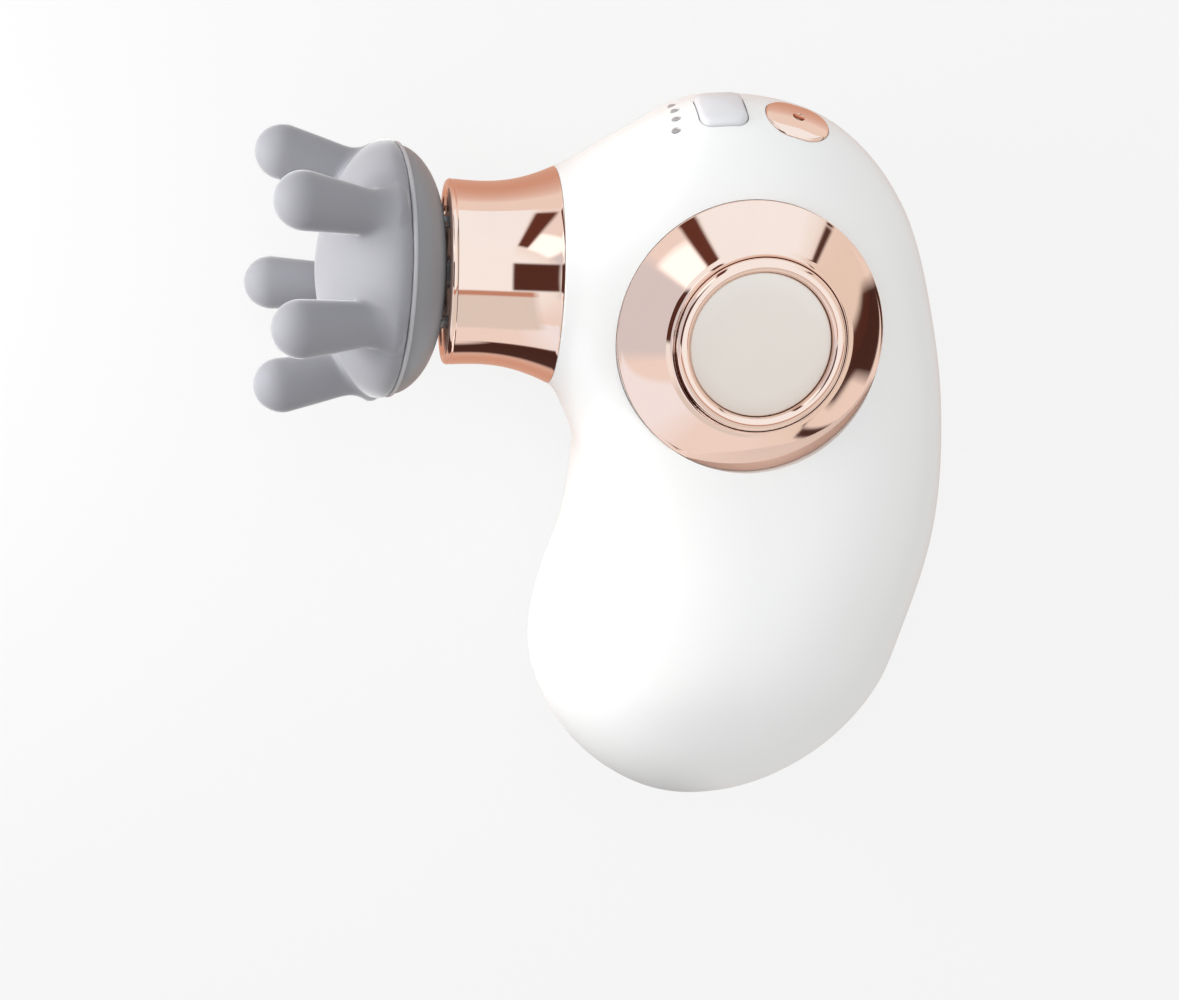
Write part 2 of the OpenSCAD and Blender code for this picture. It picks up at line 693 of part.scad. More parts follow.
module button_guide() color("dimgray") on_skin(button_s, control_turn) difference() {
    crowned(button_w + 2 * guide_wall, button_l + 2 * guide_wall, button_r, board_top,
            guide_top, button_bend);
    translate([0, 0, board_top - 1]) linear_extrude(20)
        polygon(rounded_box(button_w + 2 * button_gap, button_l + 2 * button_gap, button_r));
    translate([0, 0, board_top - 1]) linear_extrude(guide_base - board_top + 1)
        polygon(rounded_box(button_w + 2 * (flange_lip + flange_play),
                            button_l + 2 * (flange_lip + flange_play), button_r));
}

module switch_plunger() color("black") on_skin(button_s, control_turn)
    rod(plunger_r, switch_top - button_travel - 0.3, guide_base - flange_t);

switch_w = 6;
module tact_switch() color("silver") on_skin(button_s, control_turn) difference() {
    translate([-switch_w / 2, -switch_w / 2, board_top]) cube([switch_w, switch_w, switch_h]);
    rod(plunger_r + 0.06, switch_top - 2 * button_travel - 0.6, switch_top + 1);
}

module circuit_board() color("darkgreen") on_skin(button_s, control_turn)
    translate([board_left, -board_l / 2, board_top - board_t])
        cube([board_right - board_left, board_l, board_t]);

led_l = 1.8;
led_w = 1.6;
led_h = 0.8;
module status_leds() color("white") on_skin(button_s, control_turn) for (p = light_points)
    translate([p.x - led_l / 2, p.y - led_w / 2, board_top]) cube([led_l, led_w, led_h]);

guide_chamfer = 0.35;
guide_sink = 0.2;
bar_r = 0.9;
module light_guides() color([0.75, 0.75, 0.78]) on_skin(button_s, control_turn) {
    for (p = light_points) translate([p.x, p.y, 0]) {
        rod(light_d / 2, board_top + led_h, p.z - guide_sink);
        translate([0, 0, p.z - guide_sink])
            cylinder(r1 = light_d / 2, r2 = light_d / 2 - guide_chamfer, h = guide_chamfer);
    }
    hull() for (p = [light_points[0], light_points[3]]) translate([p.x, p.y, 0])
        rod(bar_r, board_top + led_h, board_top + led_h + bar_r);
}

module charge_plate() color([0.87, 0.66, 0.56]) on_skin(plate_s, plate_turn) difference() {
    crowned(plate_w, plate_l, plate_l / 2, fit - plate_sink, plate_proud, plate_bend);
    rod(jack_r + 0.25, -8, 2);
}

module charge_socket() color("black") on_skin(plate_s, plate_turn) difference() {
    union() {
        rod(socket_r - 2 * fit, socket_rear + 1, -plate_sink - 2 * fit);
        translate([socket_shift - socket_body.x / 2, -socket_body.y / 2, socket_rear])
            cube(socket_body);
    }
    rod(jack_r, socket_rear + 1, 2);
}

cell_tip_r = 3;
cell_tip_h = 0.8;
module battery_cell() color([0.35, 0.5, 0.6]) translate([cell_x, cell_top, half_thickness])
    rotate([90, 0, 0]) {
        rod(cell_d / 2, 0, cell_len);
        rod(cell_tip_r, -cell_tip_h, 0);
    }

module battery_cradle() color("dimgray") beside(-1) difference() {
    translate([cell_x - cell_d / 2 - cradle_wall, cell_top - cell_len - cradle_end, 1])
        cube([cell_d + 2 * cradle_wall, cell_len + 2 * cradle_end, cell_d / 2 + cradle_wall - 1]);
    translate([cell_x, cell_top, 0]) rotate([90, 0, 0]) {
        rod(cell_d / 2, 0, cell_len);
        rod(cell_tip_r + 1, -cradle_end - 1, 1);
    }
}

// Side discs: bevelled dish, raised bead and satin pad
disc_r = disc_d / 2;
dish_skin = 1.5;
bead_r = bead_d / 2;
bead_base = half_thickness - 5;
bevel_top = half_thickness - 1.1;
disc_shoulder = disc_seat + disc_edge;
function bevel(outer, inner, low, high) = [for (i = [0:8]) let (u = i / 8)
    [outer - (outer - inner) * u, low + (high - low) * pow(u, 0.92)]];
module disc_dish() rotate_extrude($fn = 128) polygon(concat(
    [[disc_r - dish_skin, disc_seat], [disc_r, disc_seat], [disc_r, disc_shoulder - 0.3]],
    bevel(disc_r - 0.3, bead_r, disc_shoulder, bevel_top),
    [[bead_r, bead_base], [0, bead_base], [0, bead_base - dish_skin]],
    [for (i = [8:-1:0]) bevel(disc_r - dish_skin, bead_r - 1.2, disc_seat + 0.4,
                              bead_base - dish_skin)[i]]));

module disc_bead() rotate_extrude($fn = 128) polygon(concat(
    [[pad_d / 2 + 0.05, bead_base], [bead_r, bead_base], [bead_r, half_thickness - 1]],
    [for (a = [20:20:60]) [bead_r - 1 + cos(a), half_thickness - 1 + sin(a)]],
    [[bead_r - 0.9, half_thickness], [pad_d / 2 + 0.65, half_thickness]],
    [for (a = [120:20:160]) [pad_d / 2 + 0.65 + 0.6 * cos(a), half_thickness - 0.6 + 0.6 * sin(a)]]));

module disc_pad() rod(pad_d / 2, bead_base, half_thickness - pad_sink);

module near_disc() color([0.87, 0.66, 0.56]) beside(1) disc_dish();
module far_disc() color([0.87, 0.66, 0.56]) beside(-1) disc_dish();
module near_bead() color([0.9, 0.7, 0.6]) beside(1) disc_bead();
module far_bead() color([0.9, 0.7, 0.6]) beside(-1) disc_bead();
module near_pad() color([0.88, 0.81, 0.78]) beside(1) disc_pad();
module far_pad() color([0.88, 0.81, 0.78]) beside(-1) disc_pad();

near_shell();
far_shell();
collar();
nose_cover();
guide_pins();
gear_case();
ring_gear();
motor_plate();
shaft_bushes();
motor_can();
motor_end_cap();
motor_shaft();
sun_gear();
planet_gear_1();
planet_gear_2();
planet_gear_3();
planet_carrier();
crank_shaft();
crank_washer();
crank_screw();
head_dish();
head_hub();
hub_sleeve();
head_band();
head_core();
head_screws();
finger_pad();
motor_dampers();
button();
button_guide();
switch_plunger();
tact_switch();
circuit_board();
status_leds();
light_guides();
charge_plate();
charge_socket();
battery_cell();
battery_cradle();
case_screws();
screw_plug();
near_disc();
far_disc();
near_bead();
far_bead();
near_pad();
far_pad();
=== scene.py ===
"""Looks of a hand-held scalp massager, built over its packed construction model.

Lengths in the shape functions are in millimetres, in the same frame as the construction model.
"""

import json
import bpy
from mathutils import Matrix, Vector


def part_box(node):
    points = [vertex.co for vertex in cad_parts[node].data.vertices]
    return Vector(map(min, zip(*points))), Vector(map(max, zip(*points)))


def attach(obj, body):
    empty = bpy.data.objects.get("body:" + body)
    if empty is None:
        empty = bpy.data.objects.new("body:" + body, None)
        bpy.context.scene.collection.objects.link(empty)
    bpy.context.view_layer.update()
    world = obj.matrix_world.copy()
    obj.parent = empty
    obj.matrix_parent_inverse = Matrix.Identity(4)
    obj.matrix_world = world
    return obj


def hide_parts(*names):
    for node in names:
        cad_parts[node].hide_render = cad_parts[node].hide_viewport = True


bl_info = {
    "name": "Scalp massager",
    "version": (1, 0),
    "blender": (4, 5, 0),
    "location": "3D View > Sidebar > Massager",
    "description": "Builds the body, collar, discs, head and controls of a scalp massager",
    "category": "Add Mesh",
}

import bpy
import numpy as np
from bpy.props import FloatProperty, FloatVectorProperty, PointerProperty
from mathutils import Matrix, Vector
from numpy.linalg import norm

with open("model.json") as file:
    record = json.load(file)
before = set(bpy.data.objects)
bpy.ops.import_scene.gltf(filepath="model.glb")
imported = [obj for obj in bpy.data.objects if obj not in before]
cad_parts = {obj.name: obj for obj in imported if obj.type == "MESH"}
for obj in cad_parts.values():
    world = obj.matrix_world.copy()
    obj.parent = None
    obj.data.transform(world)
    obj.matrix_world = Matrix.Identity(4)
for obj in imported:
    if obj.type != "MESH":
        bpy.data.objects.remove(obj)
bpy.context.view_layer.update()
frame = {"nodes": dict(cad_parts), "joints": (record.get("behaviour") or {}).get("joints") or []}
MM = 0.001
JOINTS = {joint["name"]: joint for joint in frame["joints"]}


def node_box(node):
    """Lowest and highest corner of a construction node, in millimetres."""
    low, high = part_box(node)
    return np.array(low) / MM, np.array(high) / MM


# Places that come from the construction model
MIDDLE = JOINTS["crank_spin"]["pos_m"][2] / MM
NECK_Y = JOINTS["crank_spin"]["pos_m"][1] / MM
COLLAR_LOW, COLLAR_HIGH = node_box("collar")
DISC_LOW, DISC_HIGH = node_box("near_disc")
BEAD_LOW, BEAD_HIGH = node_box("near_bead")
PAD_LOW, PAD_HIGH = node_box("near_pad")
NECK_X = 32.9  # where the collar's skirt meets the body
NECK_R = (COLLAR_HIGH[1] - COLLAR_LOW[1]) / 2
DISC_R = (DISC_HIGH[0] - DISC_LOW[0]) / 2
BEAD_R = (BEAD_HIGH[0] - BEAD_LOW[0]) / 2
PAD_R = (PAD_HIGH[0] - PAD_LOW[0]) / 2
SEAT = DISC_LOW[2] - MIDDLE
BEAD_TOP = BEAD_HIGH[2] - MIDDLE
PAD_TOP = PAD_HIGH[2] - MIDDLE
COLLAR_FRONT = -COLLAR_LOW[0]


# Settings

class MassagerShape(bpy.types.PropertyGroup):
    wall: FloatProperty(name="Wall", description="Thickness of the moulded wall",
                        default=2 * MM, min=1 * MM, max=3 * MM, unit="LENGTH")
    seam: FloatProperty(name="Seam", description="Rounding of the two shells along their joint",
                        default=0.22 * MM, min=0, max=0.5 * MM, unit="LENGTH")
    soft_edge: FloatProperty(name="Soft edge", description="Rounding of the bead's outer edge",
                             default=1.25 * MM, min=0.2 * MM, max=1.5 * MM, unit="LENGTH")
    root_blend: FloatProperty(name="Root blend", description="Blend between a finger and the pad",
                              default=1.2 * MM, min=0.3 * MM, max=2 * MM, unit="LENGTH")


class MassagerFinish(bpy.types.PropertyGroup):
    shell: FloatVectorProperty(name="Shell", description="Colour of the moulded body",
                               default=(0.90, 0.90, 0.895), min=0, max=1, subtype="COLOR")
    rose: FloatVectorProperty(name="Rose gold", description="Colour of the plated parts",
                              default=(0.87, 0.62, 0.52), min=0, max=1, subtype="COLOR")
    satin: FloatVectorProperty(name="Satin pad", description="Colour of the pads in the discs",
                               default=(0.84, 0.735, 0.665), min=0, max=1, subtype="COLOR")
    silicone: FloatVectorProperty(name="Silicone", description="Colour of the soft finger pad",
                                  default=(0.30, 0.30, 0.325), min=0, max=1, subtype="COLOR")
    dish: FloatVectorProperty(name="Dish", description="Colour of the head's rear dish",
                              default=(0.27, 0.27, 0.285), min=0, max=1, subtype="COLOR")
    band: FloatVectorProperty(name="Band", description="Colour of the thin ring round the head",
                              default=(0.46, 0.46, 0.48), min=0, max=1, subtype="COLOR")
    button: FloatVectorProperty(name="Button", description="Colour of the push button",
                                default=(0.74, 0.74, 0.77), min=0, max=1, subtype="COLOR")


class MassagerStage(bpy.types.PropertyGroup):
    backdrop: FloatProperty(name="Backdrop", description="Brightness of the ground in the picture",
                            default=0.932, min=0, max=1, subtype="FACTOR")
    fill: FloatProperty(name="Fill", description="Strength of the even light from all round",
                        default=0.62, min=0, max=2, subtype="FACTOR")
    key: FloatProperty(name="Key", description="Power of the large soft lamp",
                       default=1.05, min=0, max=20, unit="POWER")


# Shader expressions

class Wire:
    """One output of a node, which adds Math nodes when it takes part in arithmetic."""

    def __init__(self, nodes, socket):
        self.nodes, self.socket = nodes, socket

    def _math(self, operation, *values):
        return self.nodes.add("ShaderNodeMath", {"operation": operation}, 0, values)

    def twin(self, output):
        """Another output of the same node."""
        return Wire(self.nodes, self.socket.node.outputs[output])

    def __add__(self, other):
        return self._math("ADD", self, other)

    __radd__ = __add__

    def __sub__(self, other):
        return self._math("SUBTRACT", self, other)

    def __rsub__(self, other):
        return self._math("SUBTRACT", other, self)

    def __mul__(self, other):
        return self._math("MULTIPLY", self, other)

    __rmul__ = __mul__

    def __truediv__(self, other):
        return self._math("DIVIDE", self, other)

    def __rtruediv__(self, other):
        return self._math("DIVIDE", other, self)

    def __pow__(self, other):
        return self._math("POWER", self, other)

    def at_least(self, other):
        return self._math("MAXIMUM", self, other)

    def at_most(self, other):
        return self._math("MINIMUM", self, other)


class Nodes:
    """A node tree under construction."""

    def __init__(self, tree):
        self.tree = tree
        tree.nodes.clear()

    def add(self, kind, settings=None, output=0, leading=(), **inputs):
        """A node, set up first, then with its leading sockets filled and others by name."""
        node = self.tree.nodes.new(kind)
        for name, value in (settings or {}).items():
            setattr(node, name, value)
        for slot, value in zip(node.inputs, leading):
            self.fill(slot, value)
        for name, value in inputs.items():
            self.fill(node.inputs[name.replace("_", " ")], value)
        return Wire(self, node.outputs[output]) if len(node.outputs) else None

    def fill(self, slot, value):
        """Links a socket or sets its value, and leaves it as it is for None."""
        if isinstance(value, Wire):
            self.tree.links.new(value.socket, slot)
        elif value is not None:
            slot.default_value = (*value, 1) if slot.type == "RGBA" else value

    def place(self):
        """Object coordinates, in metres."""
        return self.add("ShaderNodeTexCoord", output="Object")

    def noise(self, grain, detail=2.0, roughness=0.5, stretch=None):
        """Noise from 0 to 1 whose features are about `grain` millimetres wide."""
        where = self.place()
        if stretch:
            where = self.add("ShaderNodeVectorMath", {"operation": "MULTIPLY"}, 0, (where, stretch))
        return self.add("ShaderNodeTexNoise", Vector=where, Scale=1 / (grain * MM),
                        Detail=detail, Roughness=roughness)

    def remap(self, value, low, high, to_low=0.0, to_high=1.0):
        """Value limited to low..high and carried over to to_low..to_high."""
        return self.add("ShaderNodeMapRange", {"clamp": True}, 0,
                        (value, low, high, to_low, to_high))

    def window(self, value, low, high, soft):
        """1 between low and high, falling to 0 over `soft` at either end."""
        return (self.remap(value, low - soft, low + soft)
                * self.remap(value, high - soft, high + soft, 1.0, 0.0))

    def ends(self, value, low, high, soft):
        """1 outside low..high, falling to 0 over `soft` at either end."""
        return (self.remap(value, high - soft, high + soft)
                + self.remap(value, low - soft, low + soft, 1.0, 0.0))

    def angle(self, operation, *values):
        """Result of an inverse trigonometric function, in degrees."""
        return self.add("ShaderNodeMath", {"operation": operation}, 0, values) * (180 / np.pi)

    def mix(self, share, first, second):
        """Colour between two others, by a share from 0 to 1."""
        colours = (share, *[None] * 5, first, second)
        return self.add("ShaderNodeMix", {"data_type": "RGBA"}, 2, colours)

    def bump(self, height, strength, distance):
        return self.add("ShaderNodeBump", Height=height, Strength=strength, Distance=distance * MM)


FINISHES = {}


def finish(name):
    """A new material and its nodes."""
    material = bpy.data.materials.new(name)
    material.use_nodes = True
    FINISHES[name] = material
    return material, Nodes(material.node_tree)


def surface(nodes, **inputs):
    """Principled surface with the given sockets, joined to the material's output."""
    nodes.add("ShaderNodeOutputMaterial", Surface=nodes.add("ShaderNodeBsdfPrincipled", **inputs))


def tinted(nodes, colour, share, by):
    """The colour, made darker by up to `share` where `by` is low."""
    dark = tuple(c * (1 - share) for c in colour)
    return nodes.mix(by, dark, tuple(colour))


def moulded(name, colour, gloss=0.42, grain=0.35, depth=0.006, wear=0.02, coat=0.0):
    """Injection-moulded plastic with a faint orange peel and cloudy gloss."""
    material, n = finish(name)
    cloud = n.noise(14, 3)
    surface(n, Base_Color=tinted(n, colour, wear, cloud),
            Roughness=n.remap(cloud, 0.3, 0.7, gloss - 0.03, gloss + 0.04),
            Coat_Weight=coat, Coat_Roughness=0.08, IOR=1.5,
            Normal=n.bump(n.noise(grain, 2), 0.35, depth))
    return material


def rose_gold(context):
    """Mirror plating over smooth plastic, with faint cloudiness and hairlines."""
    if "rose_gold" in FINISHES:
        return FINISHES["rose_gold"]
    material, n = finish("rose_gold")
    cloud = n.noise(9, 4)
    hair = n.noise(0.5, 6, 0.7)
    surface(n, Base_Color=tinted(n, context.scene.massager_finish.rose, 0.05, cloud), Metallic=1.0,
            Roughness=n.remap(cloud * 0.7 + hair * 0.3, 0.3, 0.7, 0.03, 0.065),
            Normal=n.bump(n.noise(3.5, 2), 0.05, 0.004))
    return material


def satin(name, colour):
    """Fine-blasted plating of the palm pads."""
    material, n = finish(name)
    cloud = n.noise(7, 3)
    grain = n.noise(0.09, 2, 0.6)
    surface(n, Base_Color=tinted(n, colour, 0.06, cloud), Metallic=0.75,
            Roughness=n.remap(cloud * 0.5 + grain * 0.5, 0.3, 0.7, 0.34, 0.44),
            Normal=n.bump(grain, 0.12, 0.01))
    return material


def silicone(name, colour, rough=0.62, sheen=0.9):
    """Soft silicone with a dusty, matt skin."""
    material, n = finish(name)
    cloud = n.noise(5, 4)
    fine = n.noise(0.22, 3, 0.6)
    surface(n, Base_Color=tinted(n, colour, 0.07, cloud * 0.6 + fine * 0.4),
            Roughness=n.remap(fine, 0.3, 0.7, rough - 0.06, rough + 0.06),
            Subsurface_Weight=0.06, Subsurface_Radius=(1.2 * MM, 1.0 * MM, 0.9 * MM),
            Sheen_Weight=sheen, Sheen_Roughness=0.3, IOR=1.42,
            Normal=n.bump(fine, 0.3, 0.012))
    return material


def metal(name, colour, rough=0.25, lay=(1, 1, 1), grain=0.2):
    """Turned or drawn metal, with tool marks stretched along its lay."""
    material, n = finish(name)
    marks = n.noise(grain, 3, 0.6, lay)
    stain = n.noise(6, 4)
    surface(n, Base_Color=tinted(n, colour, 0.18, stain * 0.6 + marks * 0.4), Metallic=1.0,
            Roughness=n.remap(marks, 0.3, 0.7, rough - 0.06, rough + 0.1),
            Normal=n.bump(marks, 0.25, 0.008))
    return material


def board_green(name):
    """Solder mask with faint tracks under it."""
    material, n = finish(name)
    weave = n.add("ShaderNodeTexVoronoi", {"feature": "DISTANCE_TO_EDGE"},
                  Vector=n.place(), Scale=700.0)
    track = n.remap(weave, 0.05, 0.09, 1.0, 0.0)
    surface(n, Base_Color=n.mix(track, (0.015, 0.12, 0.05), (0.03, 0.2, 0.09)),
            Roughness=n.remap(n.noise(2), 0.3, 0.7, 0.25, 0.4), Coat_Weight=0.5, Coat_Roughness=0.1,
            Normal=n.bump(track, 0.3, 0.02))
    return material


def cell_wrap(name):
    """Heat-shrunk sleeve of the battery cell, with faint wrinkles along it."""
    material, n = finish(name)
    folds = n.noise(1.2, 3, 0.5, (1, 0.12, 1))
    surface(n, Base_Color=tinted(n, (0.09, 0.2, 0.3), 0.3, folds),
            Roughness=n.remap(folds, 0.3, 0.7, 0.24, 0.4),
            Normal=n.bump(folds, 0.4, 0.05))
    return material


def lens(name, colour):
    """Frosted light guide."""
    material, n = finish(name)
    surface(n, Base_Color=tinted(n, colour, 0.1, n.noise(0.6, 2)),
            Roughness=n.remap(n.noise(0.3), 0.3, 0.7, 0.2, 0.3), Transmission_Weight=0.15,
            Coat_Weight=0.6, Normal=n.bump(n.noise(0.15), 0.1, 0.006))
    return material


# Mesh tools

def shown(name, data):
    """A new object in the scene."""
    thing = bpy.data.objects.new(name, data)
    bpy.context.scene.collection.objects.link(thing)
    return thing


def piece(name, points, faces, material, body, slot, node=None, place=None, sharp=40):
    """A mesh object from points in millimetres, riding on a body of the construction model."""
    thing = loose(points, faces, place, name)
    dress(thing, material, sharp)
    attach(thing, body)
    if node:
        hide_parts(node)
    return thing


def dress(thing, material, sharp=40):
    mesh = thing.data
    mesh.materials.clear()
    mesh.materials.append(material)
    mesh.shade_smooth()
    mesh.set_sharp_from_angle(angle=np.radians(sharp))


def settle(thing):
    """Applies the modifiers of an object to its mesh."""
    graph = bpy.context.evaluated_depsgraph_get()
    mesh = bpy.data.meshes.new_from_object(thing.evaluated_get(graph))
    thing.modifiers.clear()
    thing.data = mesh


def loose(points, faces, place=None, name="tool"):
    """A plain mesh object from points in millimetres, in a frame of its own."""
    points = np.asarray(points, float)
    if place is not None:
        matrix = np.array(place)
        points = points @ matrix[:3, :3].T + matrix[:3, 3]
    mesh = bpy.data.meshes.new(name)
    mesh.from_pydata((points * MM).tolist(), [], [list(map(int, f)) for f in faces])
    mesh.validate()
    return shown(name, mesh)


def joined(thing, tools, operation="DIFFERENCE"):
    """Cuts the tools out of a piece, or unites them with it, and removes them."""
    for tool in tools:
        change = thing.modifiers.new("tool", "BOOLEAN")
        change.operation, change.solver, change.object = operation, "EXACT", tool
    settle(thing)
    for tool in tools:
        bpy.data.objects.remove(tool)


def arc(start, end, count):
    """Evenly spaced angles in radians, between two given in degrees."""
    return np.radians(np.linspace(start, end, count))


def quads(first, second, count):
    """Faces between two closed rings of points, by the numbers at which the rings start."""
    return [(first + j, first + (j + 1) % count, second + (j + 1) % count, second + j)
            for j in range(count)]


def turned(profile, sides=192, closed=True):
    """Points and faces of a profile of (radius, height) turned round the z axis."""
    profile = np.asarray(profile, float)
    turns = np.linspace(0, 2 * np.pi, sides, endpoint=False)
    points, starts = [], []
    for r, z in profile:
        starts.append(len(points))
        if r < 1e-6:
            points.append((0, 0, z))
        else:
            points.extend((r * np.cos(t), r * np.sin(t), z) for t in turns)
    faces = []
    rows = list(range(len(profile)))
    for a, b in zip(rows, rows[1:] + ([0] if closed else [])):
        pole_a, pole_b = profile[a][0] < 1e-6, profile[b][0] < 1e-6
        if pole_a and pole_b:
            continue
        sheet = quads(starts[a], starts[b], sides)
        if pole_a:
            sheet = [(starts[a], q[2], q[3]) for q in sheet]
        elif pole_b:
            sheet = [(q[0], q[1], starts[b]) for q in sheet]
        faces += sheet
    return np.array(points), faces


def rounded(corners, steps=6):
    """A closed outline through (x, y, rounding) corners, with arcs in place of the corners."""
    out = []
    count = len(corners)
    for i, (x, y, r) in enumerate(corners):
        here = np.array((x, y), float)
        if r <= 0:
            out.append(here)
            continue
        back = np.array(corners[i - 1][:2], float) - here
        ahead = np.array(corners[(i + 1) % count][:2], float) - here
        lb, la = norm(back), norm(ahead)
        back, ahead = back / lb, ahead / la
        half = np.arccos(np.clip(back @ ahead, -1, 1)) / 2
        reach = min(r / np.tan(half), lb * 0.49, la * 0.49)
        r = reach * np.tan(half)
        centre = here + (back + ahead) / norm(back + ahead) * (r / np.sin(half))
        start, end = here + back * reach - centre, here + ahead * reach - centre
        a0, a1 = np.arctan2(start[1], start[0]), np.arctan2(end[1], end[0])
        sweep = (a1 - a0 + np.pi) % (2 * np.pi) - np.pi
        for k in range(steps + 1):
            a = a0 + sweep * k / steps
            out.append(centre + r * np.array((np.cos(a), np.sin(a))))
    return np.array(out)


def frame_at(x_axis, y_axis, z_axis, origin):
    matrix = np.eye(4)
    matrix[:3, 0], matrix[:3, 1], matrix[:3, 2], matrix[:3, 3] = x_axis, y_axis, z_axis, origin
    return matrix


# Neck frame: z along the neck toward the head, from the disc centre's height
NECK = frame_at((0, 0, 1), (0, 1, 0), (-1, 0, 0), (0, NECK_Y, MIDDLE))
lean = Vector((-1, 0, 0)).rotation_difference(Vector(JOINTS["head_turn"]["axis"])).to_matrix()
HEAD = np.eye(4)
HEAD[:3, :3] = np.array(lean) @ NECK[:3, :3]
HEAD[:3, 3] = np.array(JOINTS["head_turn"]["pos_m"]) / MM


def beside(side):
    """Frame of a body side: z away from the middle plane."""
    return frame_at((1, 0, 0), (0, 1, 0), (0, 0, side), (0, 0, MIDDLE))


# Body form

# Sections from the neck's mouth to the widest part of the grip: inner edge x, y, outer edge x, y,
# half thickness, squareness
BODY_SECTIONS = np.array([
    [-NECK_X, NECK_Y - NECK_R, -NECK_X, NECK_Y + NECK_R, NECK_R, 2],
    [-29, -17.9, -21.5, 33, 20.6, 2.2],
    [-27.6, -21, -6.2, 40.3, 21.1, 2.5],
    [-26.4, -24, 14.6, 37.6, 21.5, 2.8],
    [-26.6, -27.1, 30.2, 22.8, 21.8, 3],
    [-26.8, -31.6, 39.4, -2.6, 22.2, 3],
    [-28.2, -41.2, 42.8, -22.8, 23.6, 2.8],
    [-31.7, -50.5, 42.8, -41, 26, 2.5],
    [-33.8, -62, 38.5, -58.2, 28.3, 2.3]])
GRIP_END = np.array([-1.2, -34.4])
GRIP_POWER = 1.76
LAST = 13  # the last section's number, counted from the neck
SHELL_GAP = 0.03  # from the middle plane to each shell


def body_keys(wall):
    keys = []
    for key in BODY_SECTIONS:
        key = key.copy()
        step = (key[2:4] - key[0:2]) / norm(key[2:4] - key[0:2]) * wall
        key[0:2] += step
        key[2:4] -= step
        key[4] -= wall
        keys.append(key)
    wide = keys[-1]
    for turn in (18, 36, 54, 72, 90):
        rise = np.sin(np.radians(turn)) ** (2 / GRIP_POWER)
        spread = max(np.cos(np.radians(turn)), 0) ** (2 / GRIP_POWER) if turn < 90 else 0.0
        drop = GRIP_END * (1 - wall / norm(GRIP_END)) * rise
        centre = (wide[0:2] + wide[2:4]) / 2 + drop
        half = (wide[2:4] - wide[0:2]) / 2 * spread
        keys.append(np.array([*(centre - half), *(centre + half), wide[4] * spread, wide[5]]))
    before = keys[0] + np.array([-10, 0, -10, 0, 0, 0])
    back = keys[-2]
    after = np.array([back[2], back[3], back[0], back[1], -back[4], back[5]])
    return np.array([before, *keys, after])


KEYS = {}


def section(s, wall=0.0):
    """The section at a place along the body, on a smooth curve through the keys."""
    if wall not in KEYS:
        KEYS[wall] = body_keys(wall)
    keys = KEYS[wall]
    i = min(int(np.floor(s)), LAST - 1)
    t = s - i
    a, b, c, d = keys[i:i + 4]
    return 0.5 * (2 * b + (c - a) * t + (2 * a - 5 * b + 4 * c - d) * t * t
                  + (3 * b - a - 3 * c + d) * t ** 3)


def fair_section(s, wall=0.0):
    """A section with the small waves of the curve evened out, along the inner edge and the grip."""
    def evened(reach):
        places = np.clip(s + reach * np.array([-1, -0.5, 0, 0.5, 1]), 0, LAST)
        return np.average([section(p, wall) for p in places], axis=0, weights=(1, 4, 6, 4, 1))
    grip = 0.75 * np.clip((s - 4.2) / 1.5, 0, 1) * np.clip((LAST - s) / 2, 0, 1)
    key = evened(grip)
    key[0:2] = evened(max(grip, 0.75 * min(1, s / 1.2) * np.clip((LAST - s) / 2, 0, 1)))[0:2]
    return key


def on_section(key, turns):
    turns = np.radians(turns)
    power = 2 / key[5]
    c = np.sign(np.cos(turns)) * np.abs(np.cos(turns)) ** power
    z = key[4] * np.abs(np.sin(turns)) ** power * np.sign(np.sin(turns))
    centre, half = (key[0:2] + key[2:4]) / 2, (key[2:4] - key[0:2]) / 2
    return np.stack([centre[0] + half[0] * c, centre[1] + half[1] * c, z], -1)


def skin(s, turn):
    return on_section(section(s), np.array([float(turn)]))[0]


def skin_frame(s, turn):
    """Frame on the skin: z outward, x along the body."""
    along = skin(s + 0.02, turn) - skin(s - 0.02, turn)
    z = -np.cross(along, skin(s, turn + 1) - skin(s, turn - 1))
    z /= norm(z)
    y = np.cross(z, along)
    y /= norm(y)
    return frame_at(np.cross(y, z), y, z, skin(s, turn) + (0, 0, MIDDLE))


def bend(p, q, r):
    return (norm(p - q) * norm(q - r) * norm(r - p)
            / (2 * norm(np.cross(q - p, r - p))))


def bends(s, turn):
    """Radii of the skin along and across the body."""
    return (bend(skin(s - 0.3, turn), skin(s, turn), skin(s + 0.3, turn)),
            bend(skin(s, turn - 10), skin(s, turn), skin(s, turn + 10)))


def half_ring(key, seam, count=110):
    """Points of half a section, evenly spaced and finer at the joint of the shells."""
    turns = 90 - 90 * np.cos(np.linspace(0, np.pi, 1201))
    dense = on_section(key, turns)
    length = np.concatenate([[0], np.cumsum(norm(np.diff(dense, axis=0), axis=1))])
    total = max(length[-1], 1e-9)
    near = np.array([0, 0.05, 0.1, 0.16, 0.22, 0.3, 0.45, 0.8, 1.3]) * min(1.0, total / 40)
    even = np.linspace(near[-1], total - near[-1], count - 2 * len(near) + 2)[1:-1]
    where = np.concatenate([near, even, total - near[::-1]])
    ring = np.stack([np.interp(where, length, dense[:, k]) for k in range(3)], -1)
    if seam > 0:
        centre = np.append((key[0:2] + key[2:4]) / 2, 0)
        reach = norm(key[2:4] - key[0:2]) / 2
        lift = np.clip(1 - ring[:, 2] / seam, 0, 1)
        pull = seam * (1 - np.sqrt(1 - lift ** 2 * 0.98)) * min(1, reach / 2)
        inward = centre - ring
        inward[:, 2] = 0
        inward /= np.maximum(norm(inward, axis=1, keepdims=True), 1e-9)
        ring = ring + inward * pull[:, None]
    ring[:, 2] = np.maximum(ring[:, 2], SHELL_GAP)
    return ring


